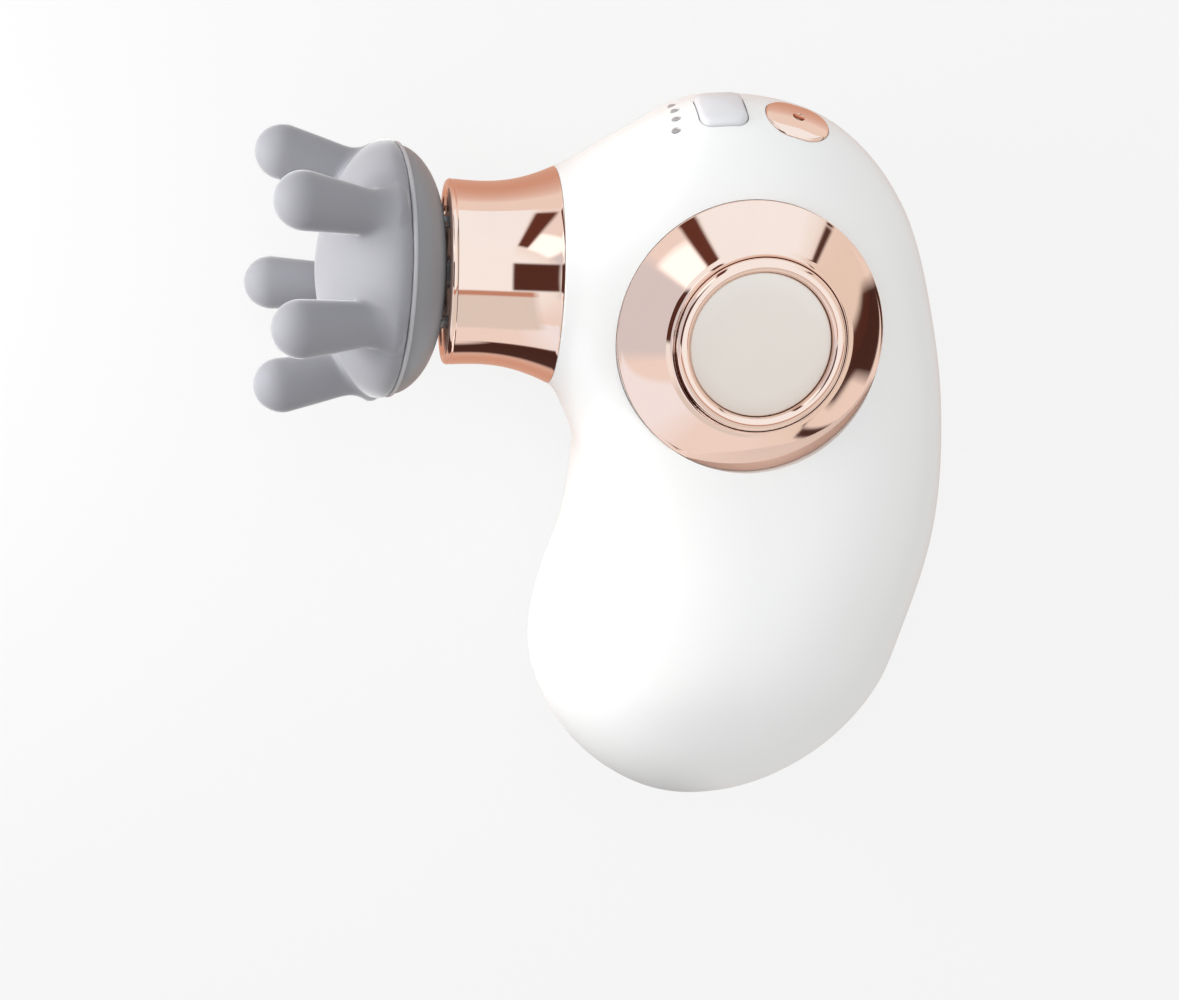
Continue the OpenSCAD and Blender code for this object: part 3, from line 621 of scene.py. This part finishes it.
def shell_form(seam, thick, rows=150):
    """Points and faces of one shell, a closed wall, with z away from the middle plane."""
    steps = np.concatenate([[0, 0.006, 0.015, 0.03], np.linspace(0.08, LAST - 0.1, rows),
                            [LAST - 0.06, LAST - 0.03]])
    rings = []
    for wall in (0.0, thick):
        grid = []
        for i, s in enumerate(steps):
            key = fair_section(s, wall)
            if wall == 0 and i < 3:
                key = key.copy()
                shrink = (0.25, 0.1, 0.03)[i]
                step = (key[2:4] - key[0:2]) / norm(key[2:4] - key[0:2]) * shrink
                key[0:2] += step
                key[2:4] -= step
                key[4] -= shrink
            grid.append(half_ring(key, seam if wall == 0 else 0))
        rings.append(np.array(grid))
    count = rings[0].shape[1]
    points, faces = [], []
    base = [0, len(steps) * count + 1]
    for grid, wall in zip(rings, (0.0, thick)):
        points.extend(grid.reshape(-1, 3))
        tip = on_section(section(LAST, wall), np.array([0.0]))[0]
        points.append([tip[0], tip[1], SHELL_GAP])
    rows = len(steps)
    for which in (0, 1):
        o = base[which]
        tip = o + rows * count
        for i in range(rows - 1):
            for j in range(count - 1):
                quad = (o + i * count + j, o + (i + 1) * count + j,
                        o + (i + 1) * count + j + 1, o + i * count + j + 1)
                faces.append(quad if which == 0 else quad[::-1])
        for j in range(count - 1):
            fan = (o + (rows - 1) * count + j, tip, o + (rows - 1) * count + j + 1)
            faces.append(fan if which == 0 else fan[::-1])
    o, n = base
    for j in range(count - 1):
        faces.append((o + j, o + j + 1, n + j + 1, n + j))
    for edge, flip in ((0, False), (count - 1, True)):
        for i in range(rows):
            ahead_o = o + (i + 1) * count + edge if i < rows - 1 else o + rows * count
            ahead_n = n + (i + 1) * count + edge if i < rows - 1 else n + rows * count
            quad = (o + i * count + edge, n + i * count + edge, ahead_n, ahead_o)
            faces.append(quad[::-1] if flip else quad)
    return np.array(points), faces


def prism(outline, low, high):
    """Points and faces of an outline drawn up between two heights."""
    count = len(outline)
    points = [(x, y, low) for x, y in outline] + [(x, y, high) for x, y in outline]
    faces = [tuple(range(count))[::-1], tuple(range(count, 2 * count))]
    return np.array(points), faces + quads(0, count, count)


def round_box(width, length, corner, steps=8):
    w, l = width / 2, length / 2
    return rounded([(w, l, corner), (-w, l, corner), (-w, -l, corner), (w, -l, corner)], steps)


def circle(radius, count=48):
    turns = np.linspace(0, 2 * np.pi, count, endpoint=False)
    return np.stack([radius * np.cos(turns), radius * np.sin(turns)], -1)


def cap_form(width, length, corner, low, proud, curve, edge, hole=0.0):
    """A rounded box whose top follows the bends of the skin and has a soft edge."""
    rings = []

    def top(xy):
        return proud - (curve[0] - np.sqrt(curve[0] ** 2 - xy[:, 0] ** 2)) \
            - (curve[1] - np.sqrt(curve[1] ** 2 - xy[:, 1] ** 2))

    outline = round_box(width, length, corner)
    rings.append(np.column_stack([outline, np.full(len(outline), low)]))
    for turn in arc(0, 90, 8):
        inset = edge * (1 - np.cos(turn))
        xy = round_box(width - 2 * inset, length - 2 * inset, max(corner - inset, 0.05))
        rings.append(np.column_stack([xy, top(xy) - edge * (1 - np.sin(turn))]))
    inner = round_box(width - 2 * edge, length - 2 * edge, max(corner - edge, 0.05))
    hole_ring = None
    if hole:
        turns = np.arctan2(inner[:, 1], inner[:, 0])
        hole_ring = hole * np.stack([np.cos(turns), np.sin(turns)], -1)
    for share in np.linspace(0, 1, 9)[1:]:
        if hole:
            xy = inner * (1 - share) + hole_ring * share
        elif share < 1:
            xy = inner * (1 - share)
        else:
            break
        rings.append(np.column_stack([xy, top(xy)]))
    if hole:
        rings.append(np.column_stack([hole_ring * 0.92, top(hole_ring) - 0.15]))
        rings.append(np.column_stack([hole_ring * 0.9, np.full(len(inner), low)]))
    count = len(outline)
    points = np.concatenate(rings)
    faces = []
    last = (len(rings) - 1) * count
    for start in range(0, last, count):
        faces += quads(start, start + count, count)
    if hole:
        faces += quads(last, 0, count)
    else:
        points = np.vstack([points, [[0, 0, proud]]])
        faces += [(last + j, last + (j + 1) % count, len(points) - 1) for j in range(count)]
        faces.append(tuple(range(count))[::-1])
    return points, faces


# Places on the skin as section and turn, sizes as width, length and corner
BUTTON_AT, BUTTON_SIZE = (2.06, 23.0), (8.3, 10.2, 2.1)
PLATE_AT, PLATE_SIZE = (2.72, 26.0), (11.8, 9.8, 4.9)
LIGHTS_AT = [(1.6, 19 + 9 * i) for i in (-1.5, -0.5, 0.5, 1.5)]
LIGHT_R = 0.8
PLUG_AT, PLUG_R = (1.0, -79.0), 2.4
FIT_GAP = 0.06  # round a disc or a light
BUTTON_GAP = 0.2
PLATE_GAP, PLATE_POCKET = 0.07, 1.2


def light_frame(at):
    """Frame of a light, square to the skin at the button."""
    place = skin_frame(*BUTTON_AT)
    place[:3, 3] = skin(*at) + (0, 0, MIDDLE)
    return place


class MASSAGER_OT_shells(bpy.types.Operator):
    """The two moulded halves of the body, with their joint, pocket and holes"""
    bl_idname = "massager.shells"
    bl_label = "Body shells"

    def execute(self, context):
        shape, colours = context.scene.massager_shape, context.scene.massager_finish
        white = moulded("shell_white", colours.shell, 0.36, 0.5, 0.003, 0.012)
        points, faces = shell_form(shape.seam / MM, round(shape.wall / MM, 3))
        above = BEAD_TOP + 3
        for side, name in ((1, "near"), (-1, "far")):
            form = [f[::-1] for f in faces] if side < 0 else faces
            shell = piece(f"{name}_body_shell", points, form, white, "handle", "shell_white",
                          f"{name}_shell", beside(side), 35)
            seat = prism(circle(DISC_R + FIT_GAP, 160), SEAT - 4, above)
            tools = [loose(*seat, beside(side))]
            if side > 0:
                width, length, corner = BUTTON_SIZE
                hole = round_box(width + 2 * BUTTON_GAP, length + 2 * BUTTON_GAP,
                                 corner + BUTTON_GAP)
                tools.append(loose(*prism(hole, -5, 4), skin_frame(*BUTTON_AT)))
                hole = prism(circle(LIGHT_R + FIT_GAP, 40), -4, 3)
                tools += [loose(*hole, light_frame(at)) for at in LIGHTS_AT]
                width, length, corner = PLATE_SIZE
                hole = round_box(width + 2 * PLATE_GAP, length + 2 * PLATE_GAP, corner + 0.05, 12)
                tools.append(loose(*prism(hole, -PLATE_POCKET, 4), skin_frame(*PLATE_AT)))
            else:
                place = beside(side)
                place[:2, 3] += PLUG_AT
                tools.append(loose(*prism(circle(PLUG_R), 12, above), place))
            joined(shell, tools)
            dress(shell, white, 35)
        return {"FINISHED"}


class MASSAGER_OT_collar(bpy.types.Operator):
    """The flared plated collar between the body and the head"""
    bl_idname = "massager.collar"
    bl_label = "Collar"

    def execute(self, context):
        front_r, waist, lip_r = 16.5, 1.45, 0.85
        mouth_r, bore_r, mouth_depth, spigot = 14.8, 14.2, 3.1, 3.0
        length = COLLAR_FRONT - NECK_X
        outer = [(NECK_R - 0.35, NECK_X + 0.02), (NECK_R - 0.1, NECK_X + 0.08)]
        for u in np.linspace(0.015, 0.965, 60):
            outer.append((NECK_R + (front_r - NECK_R) * u - waist * np.sin(np.pi * u ** 0.9),
                          NECK_X + (length - 0.8) * u))
        lip = [(front_r - lip_r + lip_r * np.cos(a), COLLAR_FRONT - lip_r + lip_r * np.sin(a))
               for a in arc(-32, 172, 22)]
        rear_r, ledge = NECK_R - 2.05, COLLAR_FRONT - mouth_depth
        inner = [(mouth_r, COLLAR_FRONT - 1.2), (mouth_r, ledge), (bore_r, ledge),
                 (bore_r, NECK_X - spigot), (rear_r, NECK_X - spigot), (rear_r, NECK_X + 0.02)]
        piece("plated_collar", *turned(outer + lip + inner), rose_gold(context), "handle",
              "rose_gold", "collar", NECK, 35)
        return {"FINISHED"}


class MASSAGER_OT_discs(bpy.types.Operator):
    """The plated side discs with their beads and satin pads"""
    bl_idname = "massager.discs"
    bl_label = "Side discs"

    def execute(self, context):
        colours, shape = context.scene.massager_finish, context.scene.massager_shape
        rose, cloth = rose_gold(context), satin("rose_satin", colours.satin)
        shoulder, base = SEAT + 1.7, BEAD_TOP - 5
        edge_r, foot_r, foot = 0.35, 1.25, 1.3
        bevel = []
        for u in np.linspace(0, 1, 40):
            bevel.append((DISC_R - 0.3 - (DISC_R - 0.3 - BEAD_R - foot) * u,
                          shoulder + (BEAD_TOP - 1.9 - shoulder) * u ** 0.92))
        rise = [(BEAD_R + foot - foot_r * np.sin(a), BEAD_TOP - 0.65 - foot_r * np.cos(a))
                for a in arc(30, 84, 10)]
        edge = [(DISC_R - edge_r + edge_r * np.cos(a), shoulder - edge_r + edge_r * np.sin(a))
                for a in arc(0, 52, 7)]
        dish = [(DISC_R - 1.5, SEAT), (DISC_R, SEAT)] + edge + bevel[1:] + rise \
            + [(BEAD_R + 0.01, base), (BEAD_R - 3, base - 1.5), (DISC_R - 3, SEAT + 0.6)]
        inside = PAD_R + FIT_GAP
        ring = rounded([(inside, base, 0), (BEAD_R, base, 0),
                        (BEAD_R, BEAD_TOP, shape.soft_edge / MM), (inside, BEAD_TOP, 0.9)], 12)
        soft = 0.3
        pad = [(PAD_R * share, PAD_TOP) for share in (0, 0.4, 0.75)] \
            + [(PAD_R - soft + soft * np.sin(a), PAD_TOP - soft + soft * np.cos(a))
               for a in arc(0, 90, 6)] + [(PAD_R, base), (0, base)]
        forms = (("disc_plate", turned(dish, 256), rose, "rose_gold", "disc", 40),
                 ("disc_bead", turned(ring, 256), rose, "rose_gold", "bead", 50),
                 ("palm_pad", turned(pad, 192, False), cloth, "rose_satin", "pad", 40))
        for side, name in ((1, "near"), (-1, "far")):
            for title, (points, faces), material, slot, node, sharp in forms:
                faces = [f[::-1] for f in faces] if side < 0 else faces
                piece(f"{name}_{title}", points, faces, material, "handle", slot,
                      f"{name}_{node}", beside(side), sharp)
        return {"FINISHED"}


HEAD_R, DOME_H, DOME_POWER = 22.75, 11.2, 1.7
DISH_DEPTH, DISH_WALL, HUB_HOLE_R = 9.2, 2, 5.8
BAND_REAR, BAND_FRONT = -2.2, -1.4
FINGER_TURNS = [37, 120, 196.5, 268, 339]
RING_R, ROOT_R, REACH, ROOT_H = 21.5, 18.4, 16.3, 2.0
TIP_R, NECK_HALF = 4.95, 3.6


def dome_line(r, h, count):
    """Half outline of the dome, from its rim to its top."""
    power = 2 / DOME_POWER
    return [(r * max(np.cos(a), 0) ** power, h * np.sin(a) ** power) for a in arc(0, 90, count)]


def finger_form():
    """A finger from a flared root to its round tip, along z."""
    length = np.hypot(RING_R - ROOT_R, REACH - ROOT_H)
    flare, widening = 5.0, 2.2
    slope = np.arcsin((TIP_R - NECK_HALF) / length)
    last = length - TIP_R * np.sin(slope)
    line = [(0, -1.5), (NECK_HALF + widening, -1.5)]
    for t in np.linspace(0, last, 28)[:-1]:
        line.append((NECK_HALF + (TIP_R * np.cos(slope) - NECK_HALF) * t / last
                     + widening * max(1 - t / flare, 0) ** 2.8, t))
    for a in np.linspace(-slope, np.pi / 2, 18):
        line.append((max(TIP_R * np.cos(a), 0), length + TIP_R * np.sin(a)))
    line[-1] = (0, length + TIP_R)
    return turned(line, 40, False)


class MASSAGER_OT_head(bpy.types.Operator):
    """The soft pad with its fingers, the thin ring and the rear dish"""
    bl_idname = "massager.head"
    bl_label = "Head"

    def execute(self, context):
        colours, shape = context.scene.massager_finish, context.scene.massager_shape
        soft = silicone("silicone_grey", colours.silicone)
        dome = [(0, BAND_FRONT), (HEAD_R - 0.4, BAND_FRONT), (HEAD_R - 0.1, BAND_FRONT + 0.25)] \
            + dome_line(HEAD_R, DOME_H, 60)
        dome[-1] = (0, DOME_H)
        pad = piece("soft_finger_pad", *turned(dome, 160, False), soft, "head", "silicone_grey",
                    "finger_pad", HEAD)
        splay = np.arctan2(RING_R - ROOT_R, REACH - ROOT_H)
        tilt = Matrix.Rotation(splay, 4, "Y")
        fingers = []
        for turn in FINGER_TURNS:
            local = Matrix.Rotation(np.radians(turn), 4, "Z")
            local = local @ Matrix.Translation((ROOT_R, 0, ROOT_H)) @ tilt
            fingers.append(loose(*finger_form(), HEAD @ np.array(local)))
        joined(pad, fingers, "UNION")
        remesh = pad.modifiers.new("even", "REMESH")
        remesh.mode = "VOXEL"
        remesh.voxel_size = 0.36 * MM
        settle(pad)
        self.soften(pad, shape.root_blend / MM)
        dress(pad, soft, 60)

        band = moulded("band_grey", colours.band, gloss=0.35, wear=0.05)
        rim = HEAD_R - 0.16
        inside = HEAD_R - 3.6
        ring = rounded([(inside, BAND_REAR, 0), (rim, BAND_REAR, 0.3),
                        (rim, BAND_FRONT, 0.3), (inside, BAND_FRONT, 0)], 5)
        piece("head_ring", *turned(ring, 192), band, "head", "band_grey", "head_band", HEAD, 40)

        grey = moulded("dish_grey", colours.dish, grain=0.25, depth=0.01, wear=0.06)
        outer, inner = self.dish_line(0), self.dish_line(DISH_WALL)
        line = [(HUB_HOLE_R, -DISH_DEPTH), *outer, *inner[::-1],
                (HUB_HOLE_R, -DISH_DEPTH + DISH_WALL)]
        dish = piece("head_rear_dish", *turned(line), grey, "head", "dish_grey", "head_dish", HEAD)
        below = -DISH_DEPTH - 1
        tools = [loose(*prism(circle(3, 40) + (0, y), below, 0), HEAD) for y in (-9, 9)]
        for a in np.radians((30, 150, 270)):
            spot = 14.2 * np.array((np.cos(a), np.sin(a)))
            tools.append(loose(*prism(circle(2, 32) + spot, below, -DISH_DEPTH + 1.6), HEAD))
        joined(dish, tools)
        dress(dish, grey)
        return {"FINISHED"}

    @staticmethod
    def dish_line(inset, count=40):
        """The dish's outline from its flat back to its rim, or its inner face."""
        flat_r, rim, power = 12.4, HEAD_R - 0.7, 1.15
        line = []
        for a in arc(0, 90, count):
            out, up = np.sin(a) ** power, 1 - max(np.cos(a), 0) ** power
            line.append((flat_r - inset * 0.7 + (rim - inset * 0.3 - flat_r) * out,
                         -DISH_DEPTH + inset + (DISH_DEPTH + BAND_REAR - inset) * up))
        return line

    @staticmethod
    def soften(pad, blend):
        """Smooths the pad's mesh, most where the fingers grow out of it."""
        mesh = pad.data
        count = len(mesh.vertices)
        places = np.zeros(count * 3)
        mesh.vertices.foreach_get("co", places)
        local = (places.reshape(-1, 3) / MM - HEAD[:3, 3]) @ HEAD[:3, :3]
        weight = np.zeros(count)
        splay = (RING_R - ROOT_R) / (REACH - ROOT_H)
        for turn in np.radians(FINGER_TURNS):
            r = ROOT_R + splay * (local[:, 2] - ROOT_H)
            gap = np.hypot(local[:, 0] - r * np.cos(turn), local[:, 1] - r * np.sin(turn))
            near = np.clip(1 - (gap - NECK_HALF - 0.3) / 3.2, 0, 1)
            near *= np.clip(1 - (local[:, 2] - 5.5) / 4, 0, 1)
            weight = np.maximum(weight, near)
        roots = pad.vertex_groups.new(name="roots")
        for level in range(1, 11):
            chosen = np.nonzero((weight * 10).round().astype(int) == level)[0]
            roots.add([int(i) for i in chosen], level / 10, "REPLACE")
        even = pad.modifiers.new("all", "SMOOTH")
        even.factor, even.iterations = 0.5, 4
        more = pad.modifiers.new("roots", "SMOOTH")
        more.factor, more.iterations = 0.5, int(22 * blend)
        more.vertex_group = "roots"
        settle(pad)


class MASSAGER_OT_controls(bpy.types.Operator):
    """The button, the row of lights and the charging plate"""
    bl_idname = "massager.controls"
    bl_label = "Controls"

    def execute(self, context):
        colours = context.scene.massager_finish
        grey = moulded("button_grey", colours.button, 0.32, 0.3, wear=0.03, coat=0.2)
        button = cap_form(*BUTTON_SIZE, -5, 1.0, bends(*BUTTON_AT), 0.9)
        piece("push_button", *button, grey, "button", "button_grey", "button",
              skin_frame(*BUTTON_AT), 50)
        clear = lens("light_clear", (0.34, 0.33, 0.34))
        line = [(0, 0.1), (0.3, 0.08), (0.52, 0.02), (0.7, -0.08), (LIGHT_R - 0.02, -0.25),
                (LIGHT_R, -0.5), (LIGHT_R, -3), (0, -3)]
        for number, at in enumerate(LIGHTS_AT, 1):
            piece(f"status_light_{number}", *turned(line, 40, False), clear, "handle",
                  "light_clear", "light_guides" if number == 1 else None, light_frame(at), 40)
        plate = cap_form(*PLATE_SIZE, 0.1 - PLATE_POCKET, 0.35, bends(*PLATE_AT), 0.45, hole=1.1)
        piece("charging_plate", *plate, rose_gold(context), "handle", "rose_gold",
              "charge_plate", skin_frame(*PLATE_AT), 50)
        return {"FINISHED"}


class MASSAGER_OT_workings(bpy.types.Operator):
    """Finishes for the pieces inside, which keep their construction shapes"""
    bl_idname = "massager.workings"
    bl_label = "Workings"

    def execute(self, context):
        steel = metal("steel", (0.62, 0.62, 0.63), 0.2, (1, 6, 6), 0.3)
        can = metal("can_steel", (0.55, 0.56, 0.57), 0.3, (6, 1, 1), 0.25)
        bronze = metal("bronze", (0.5, 0.3, 0.13), 0.35)
        brass = metal("brass", (0.72, 0.52, 0.2), 0.25)
        gears = moulded("gear_plastic", (0.78, 0.76, 0.68), 0.4, 0.3, 0.01, 0.06)
        black = moulded("dark_plastic", (0.035, 0.035, 0.037), 0.42, 0.2, 0.015, 0.25)
        rubber = silicone("damper_rubber", (0.04, 0.04, 0.042), 0.7, 0.2)
        white = FINISHES["shell_white"]
        worn = {
            steel: "guide_pins motor_shaft crank_shaft crank_washer crank_screw head_screws"
                   " case_screws tact_switch motor_plate",
            can: "motor_can",
            bronze: "shaft_bushes hub_sleeve",
            brass: "sun_gear",
            gears: "planet_gear_1 planet_gear_2 planet_gear_3 planet_carrier ring_gear gear_case"
                   " motor_end_cap",
            black: "nose_cover head_hub head_core button_guide switch_plunger charge_socket"
                   " battery_cradle",
            rubber: "motor_dampers",
            board_green("board_green"): "circuit_board",
            cell_wrap("cell_wrap"): "battery_cell",
            lens("led_white", (0.8, 0.8, 0.75)): "status_leds",
            white: "screw_plug",
        }
        for material, nodes in worn.items():
            for node in nodes.split():
                thing = frame["nodes"][node]
                if not thing.material_slots:
                    thing.data.materials.append(None)
                for slot in thing.material_slots:
                    slot.link = "OBJECT"
                    slot.material = material
        return {"FINISHED"}


# Dark bands painted on the floor for mirrored rays only, painted reflections: bearings and their
# softness in degrees, and the two distances between which a band turns dark, in metres
PAINTED_DARK_BANDS = ((-165.0, -84.0, 4.0, 0.1, 0.125), (-21.0, 13.0, 3.0, 0.3, 0.36),
              (-36.0, -21.0, 3.0, 1.0, 1.6))
# The photograph's viewing angles in degrees, its distance in millimetres and focal length in pixels
VIEW_SIDE, VIEW_RISE, VIEW_ROLL = 9.942, 15.548, 3.182
VIEW_AIM, VIEW_DISTANCE = (-23.25, -35.216, MIDDLE), 302.67
FOCAL_PIXELS, FRAME_PIXELS, SENSOR = 1600.0, 1179, 36


class MASSAGER_OT_stage(bpy.types.Operator):
    """Floor, lamps, surroundings and camera"""
    bl_idname = "massager.stage"
    bl_label = "Stage"

    def execute(self, context):
        stage = context.scene.massager_stage
        self.floor(stage)
        self.surroundings(context, stage)
        self.lamps(stage)
        self.camera(context)
        context.scene.view_settings.view_transform = "Standard"
        return {"FINISHED"}

    @staticmethod
    def seen_ways(n):
        """1 for rays from the camera or through glass, and 1 for mirrored rays."""
        mirrored = n.add("ShaderNodeLightPath", output="Is Glossy Ray")
        seen = mirrored.twin("Is Camera Ray").at_least(mirrored.twin("Is Transmission Ray"))
        return seen, mirrored

    def floor(self, stage):
        material, n = finish("paper_floor")
        seen, mirrored = self.seen_ways(n)
        fibre = n.mix(n.noise(60), (0.86,) * 3, (0.88,) * 3)
        paper = n.add("ShaderNodeBsdfDiffuse", Color=fibre)
        # Painted reflections: for mirrored rays the paper is painted warmer near the object and
        # dark in bands farther out
        x = n.add("ShaderNodeSeparateXYZ", leading=(n.place(),))
        y = x.twin("Y")
        bearing = n.angle("ARCTAN2", y, x)
        distance = (x * x + y * y) ** 0.5
        sweep = bearing + 20.0 * (1 - 0.28 / distance.at_least(0.28))
        # Painted reflection: dark bands on the floor that only mirrored rays see
        dark = n.window(sweep, -36.0, -31.0, 1.0) * n.remap(distance, 0.26, 0.3)
        for left, right, soft, near, far in PAINTED_DARK_BANDS:
            dark = dark + n.window(bearing, left, right, soft) * n.remap(distance, near, far)
        # Painted reflection: a copper tint on the floor near the object, seen only in the plating
        painted_reflection_tint = n.mix(n.remap(distance, 0.07, 0.17), (0.72, 0.44, 0.33), (0.99, 0.97, 0.94))
        painted_reflection_tint = n.mix(dark.at_most(1.0), painted_reflection_tint, (0.06, 0.022, 0.016))
        glow = n.add("ShaderNodeEmission", Color=n.mix(mirrored, (stage.backdrop,) * 3, painted_reflection_tint))
        # The paper keeps a share of its shading for the camera, which holds the object's shadow
        share = (seen.at_least(mirrored) * 0.88).at_least(mirrored * 0.98)
        n.add("ShaderNodeOutputMaterial",
              Surface=n.add("ShaderNodeMixShader", leading=(share, paper, glow)))
        half, low = 6.0, -0.0003
        mesh = bpy.data.meshes.new("paper_floor")
        corners = [(-half, -half, low), (half, -half, low), (half, half, low), (-half, half, low)]
        mesh.from_pydata(corners, [], [(0, 1, 2, 3)])
        mesh.materials.append(material)
        floor = shown("paper_floor", mesh)

    def surroundings(self, context, stage):
        world = context.scene.world or bpy.data.worlds.new("surroundings")
        context.scene.world = world
        world.use_nodes = True
        n = Nodes(world.node_tree)
        seen, glossy = self.seen_ways(n)
        way = n.add("ShaderNodeTexCoord", output="Generated")
        x = n.add("ShaderNodeSeparateXYZ", leading=(way,))
        y, z = x.twin("Y"), x.twin("Z")
        around, rise = n.angle("ARCTAN2", y, x), n.angle("ARCSINE", z)
        # Angle round the neck axis, for what shows on the collar
        tip = n.angle("ARCTAN2", y, z)
        behind = n.remap(rise, 24.0, 28.0) * n.remap(x, -0.5, -0.42)
        ledge = n.window(x, -0.66, -0.2, 0.02) * n.window(tip, -12.0, 21.0, 1.5)
        slant = rise - (around + 155.0) * 0.43
        horizon = n.window(around, -165.0, -84.0, 4.0) + n.window(around, -36.0, 13.0, 3.0)
        low = n.remap(rise, 3.0, 6.0, 1.0, 0.0)
        # Painted reflections, seen only by mirrored rays: a pale ground colour with painted patches
        # over it, each over the ones before
        painted_reflection_cards = (
            (n.window(around, 43.0, 110.0, 3.0), (1.08, 1.30, 1.42)),
            (n.window(around, -62.0, 42.0, 12.0), (0.92, 0.92, 0.86)),
            (n.remap(rise, 36.0, 60.0), (1.1, 1.3, 1.4)),
            (n.ends(around, -158.0, 145.0, 4.0) * n.remap(rise, 44.0, 50.0, 1.0, 0.0),
             (0.79, 0.88, 0.98)),
            (n.window(around, -176.0, -112.0, 9.0) * n.remap(slant, 17.0, 20.0, 1.0, 0.0),
             (1.05, 1.2, 1.35)),
            (n.window(around, 121.0, 145.0, 2.0) * n.window(rise, 28.0, 47.0, 1.5),
             (1.5, 1.7, 1.8)),
            (n.window(around, 110.0, 120.5, 1.2) * n.window(rise, 4.0, 46.0, 1.5),
             (0.14, 0.05, 0.035)),
            (n.window(around, 39.0, 42.6, 0.8) * n.window(rise, 3.0, 34.0, 3.0), (0.1, 0.05, 0.04)),
            (behind * n.window(tip, -88.0, -18.0, 2.0), (0.84, 0.9, 0.9)),
            (behind * n.window(tip, -19.5, -13.5, 1.0), (0.62, 0.36, 0.27)),
            (ledge * n.remap(z, 0.6, 0.64), (0.1, 0.04, 0.03)),
            (n.remap(rise, 2.0, 4.0, 1.0, 0.0) * horizon.at_most(1.0), (0.09, 0.035, 0.025)),
            (low * n.window(around, -50.0, -44.5, 1.0), (0.09, 0.035, 0.025)),
        )
        reflected_room = (1.0, 1.02, 1.02)
        for share, colour in painted_reflection_cards:
            reflected_room = n.mix(share, reflected_room, colour)
        even = (1 - seen) * stage.fill + seen * stage.backdrop
        # Mirrored rays see the painted reflections, other rays an even fill or backdrop
        back = n.add("ShaderNodeBackground", Color=n.mix(glossy, (1, 1, 1), reflected_room),
                     Strength=glossy + (1 - glossy) * even)
        n.add("ShaderNodeOutputWorld", Surface=back)

    @staticmethod
    def lamps(stage):
        aim = Vector((0, -0.02, 0.03))
        for name, place, size, power, colour in (
                ("key", (-0.72, 0.24, 0.34), 0.6, stage.key, (1.0, 0.995, 0.985)),
                ("top", (-0.1, 0.35, 0.8), 0.7, stage.key * 1.7, (1, 1, 1)),
                ("head", (-0.24, 0.02, 0.075), 0.12, stage.key * 0.34, (1, 1, 1))):
            lamp = bpy.data.lights.new(name, "AREA")
            lamp.energy, lamp.size, lamp.color = power, size, colour
            lamp.shape = "DISK"
            thing = shown(name, lamp)
            thing.location = place
            thing.rotation_euler = (aim - Vector(place)).to_track_quat("-Z", "Y").to_euler()
            thing.visible_glossy = thing.visible_camera = False

    @staticmethod
    def camera(context):
        side, rise, roll = (np.radians(a) for a in (VIEW_SIDE, VIEW_RISE, VIEW_ROLL))
        toward = np.array([-np.sin(side) * np.cos(rise), np.sin(rise), np.cos(side) * np.cos(rise)])
        across = np.cross((0, 1, 0), toward)
        across /= norm(across)
        up = np.cross(toward, across)
        right = np.cos(roll) * across + np.sin(roll) * up
        up = -np.sin(roll) * across + np.cos(roll) * up
        data = bpy.data.cameras.new("camera")
        data.sensor_fit = "HORIZONTAL"
        data.sensor_width = SENSOR
        data.lens = FOCAL_PIXELS * SENSOR / FRAME_PIXELS
        data.clip_start, data.clip_end = 0.01, 20
        thing = shown("camera", data)
        place = (np.array(VIEW_AIM) + toward * VIEW_DISTANCE) * MM
        thing.matrix_world = Matrix(frame_at(right, up, toward, place).tolist())
        context.scene.camera = thing


OPERATORS = (MASSAGER_OT_shells, MASSAGER_OT_collar, MASSAGER_OT_discs, MASSAGER_OT_head,
             MASSAGER_OT_controls, MASSAGER_OT_workings, MASSAGER_OT_stage)


class VIEW3D_PT_massager(bpy.types.Panel):
    """Buttons that build the pieces, with the sizes and colours they use"""
    bl_label = "Massager"
    bl_idname = "VIEW3D_PT_massager"
    bl_space_type = "VIEW_3D"
    bl_region_type = "UI"
    bl_category = "Massager"

    def draw(self, context):
        column = self.layout.column()
        for operator in OPERATORS:
            column.operator(operator.bl_idname)
        for group in ("massager_shape", "massager_finish", "massager_stage"):
            settings = getattr(context.scene, group)
            box = self.layout.box()
            for name in settings.__annotations__:
                box.prop(settings, name)


CLASSES = (MassagerShape, MassagerFinish, MassagerStage) + OPERATORS + (VIEW3D_PT_massager,)


def register():
    for each in CLASSES:
        bpy.utils.register_class(each)
    bpy.types.Scene.massager_shape = PointerProperty(type=MassagerShape)
    bpy.types.Scene.massager_finish = PointerProperty(type=MassagerFinish)
    bpy.types.Scene.massager_stage = PointerProperty(type=MassagerStage)


def unregister():
    del bpy.types.Scene.massager_stage
    del bpy.types.Scene.massager_finish
    del bpy.types.Scene.massager_shape
    for each in reversed(CLASSES):
        bpy.utils.unregister_class(each)


def main():
    register()
    bpy.ops.massager.shells()
    bpy.ops.massager.collar()
    bpy.ops.massager.discs()
    bpy.ops.massager.head()
    bpy.ops.massager.controls()
    bpy.ops.massager.workings()
    bpy.ops.massager.stage()


if __name__ == "__main__":
    main()
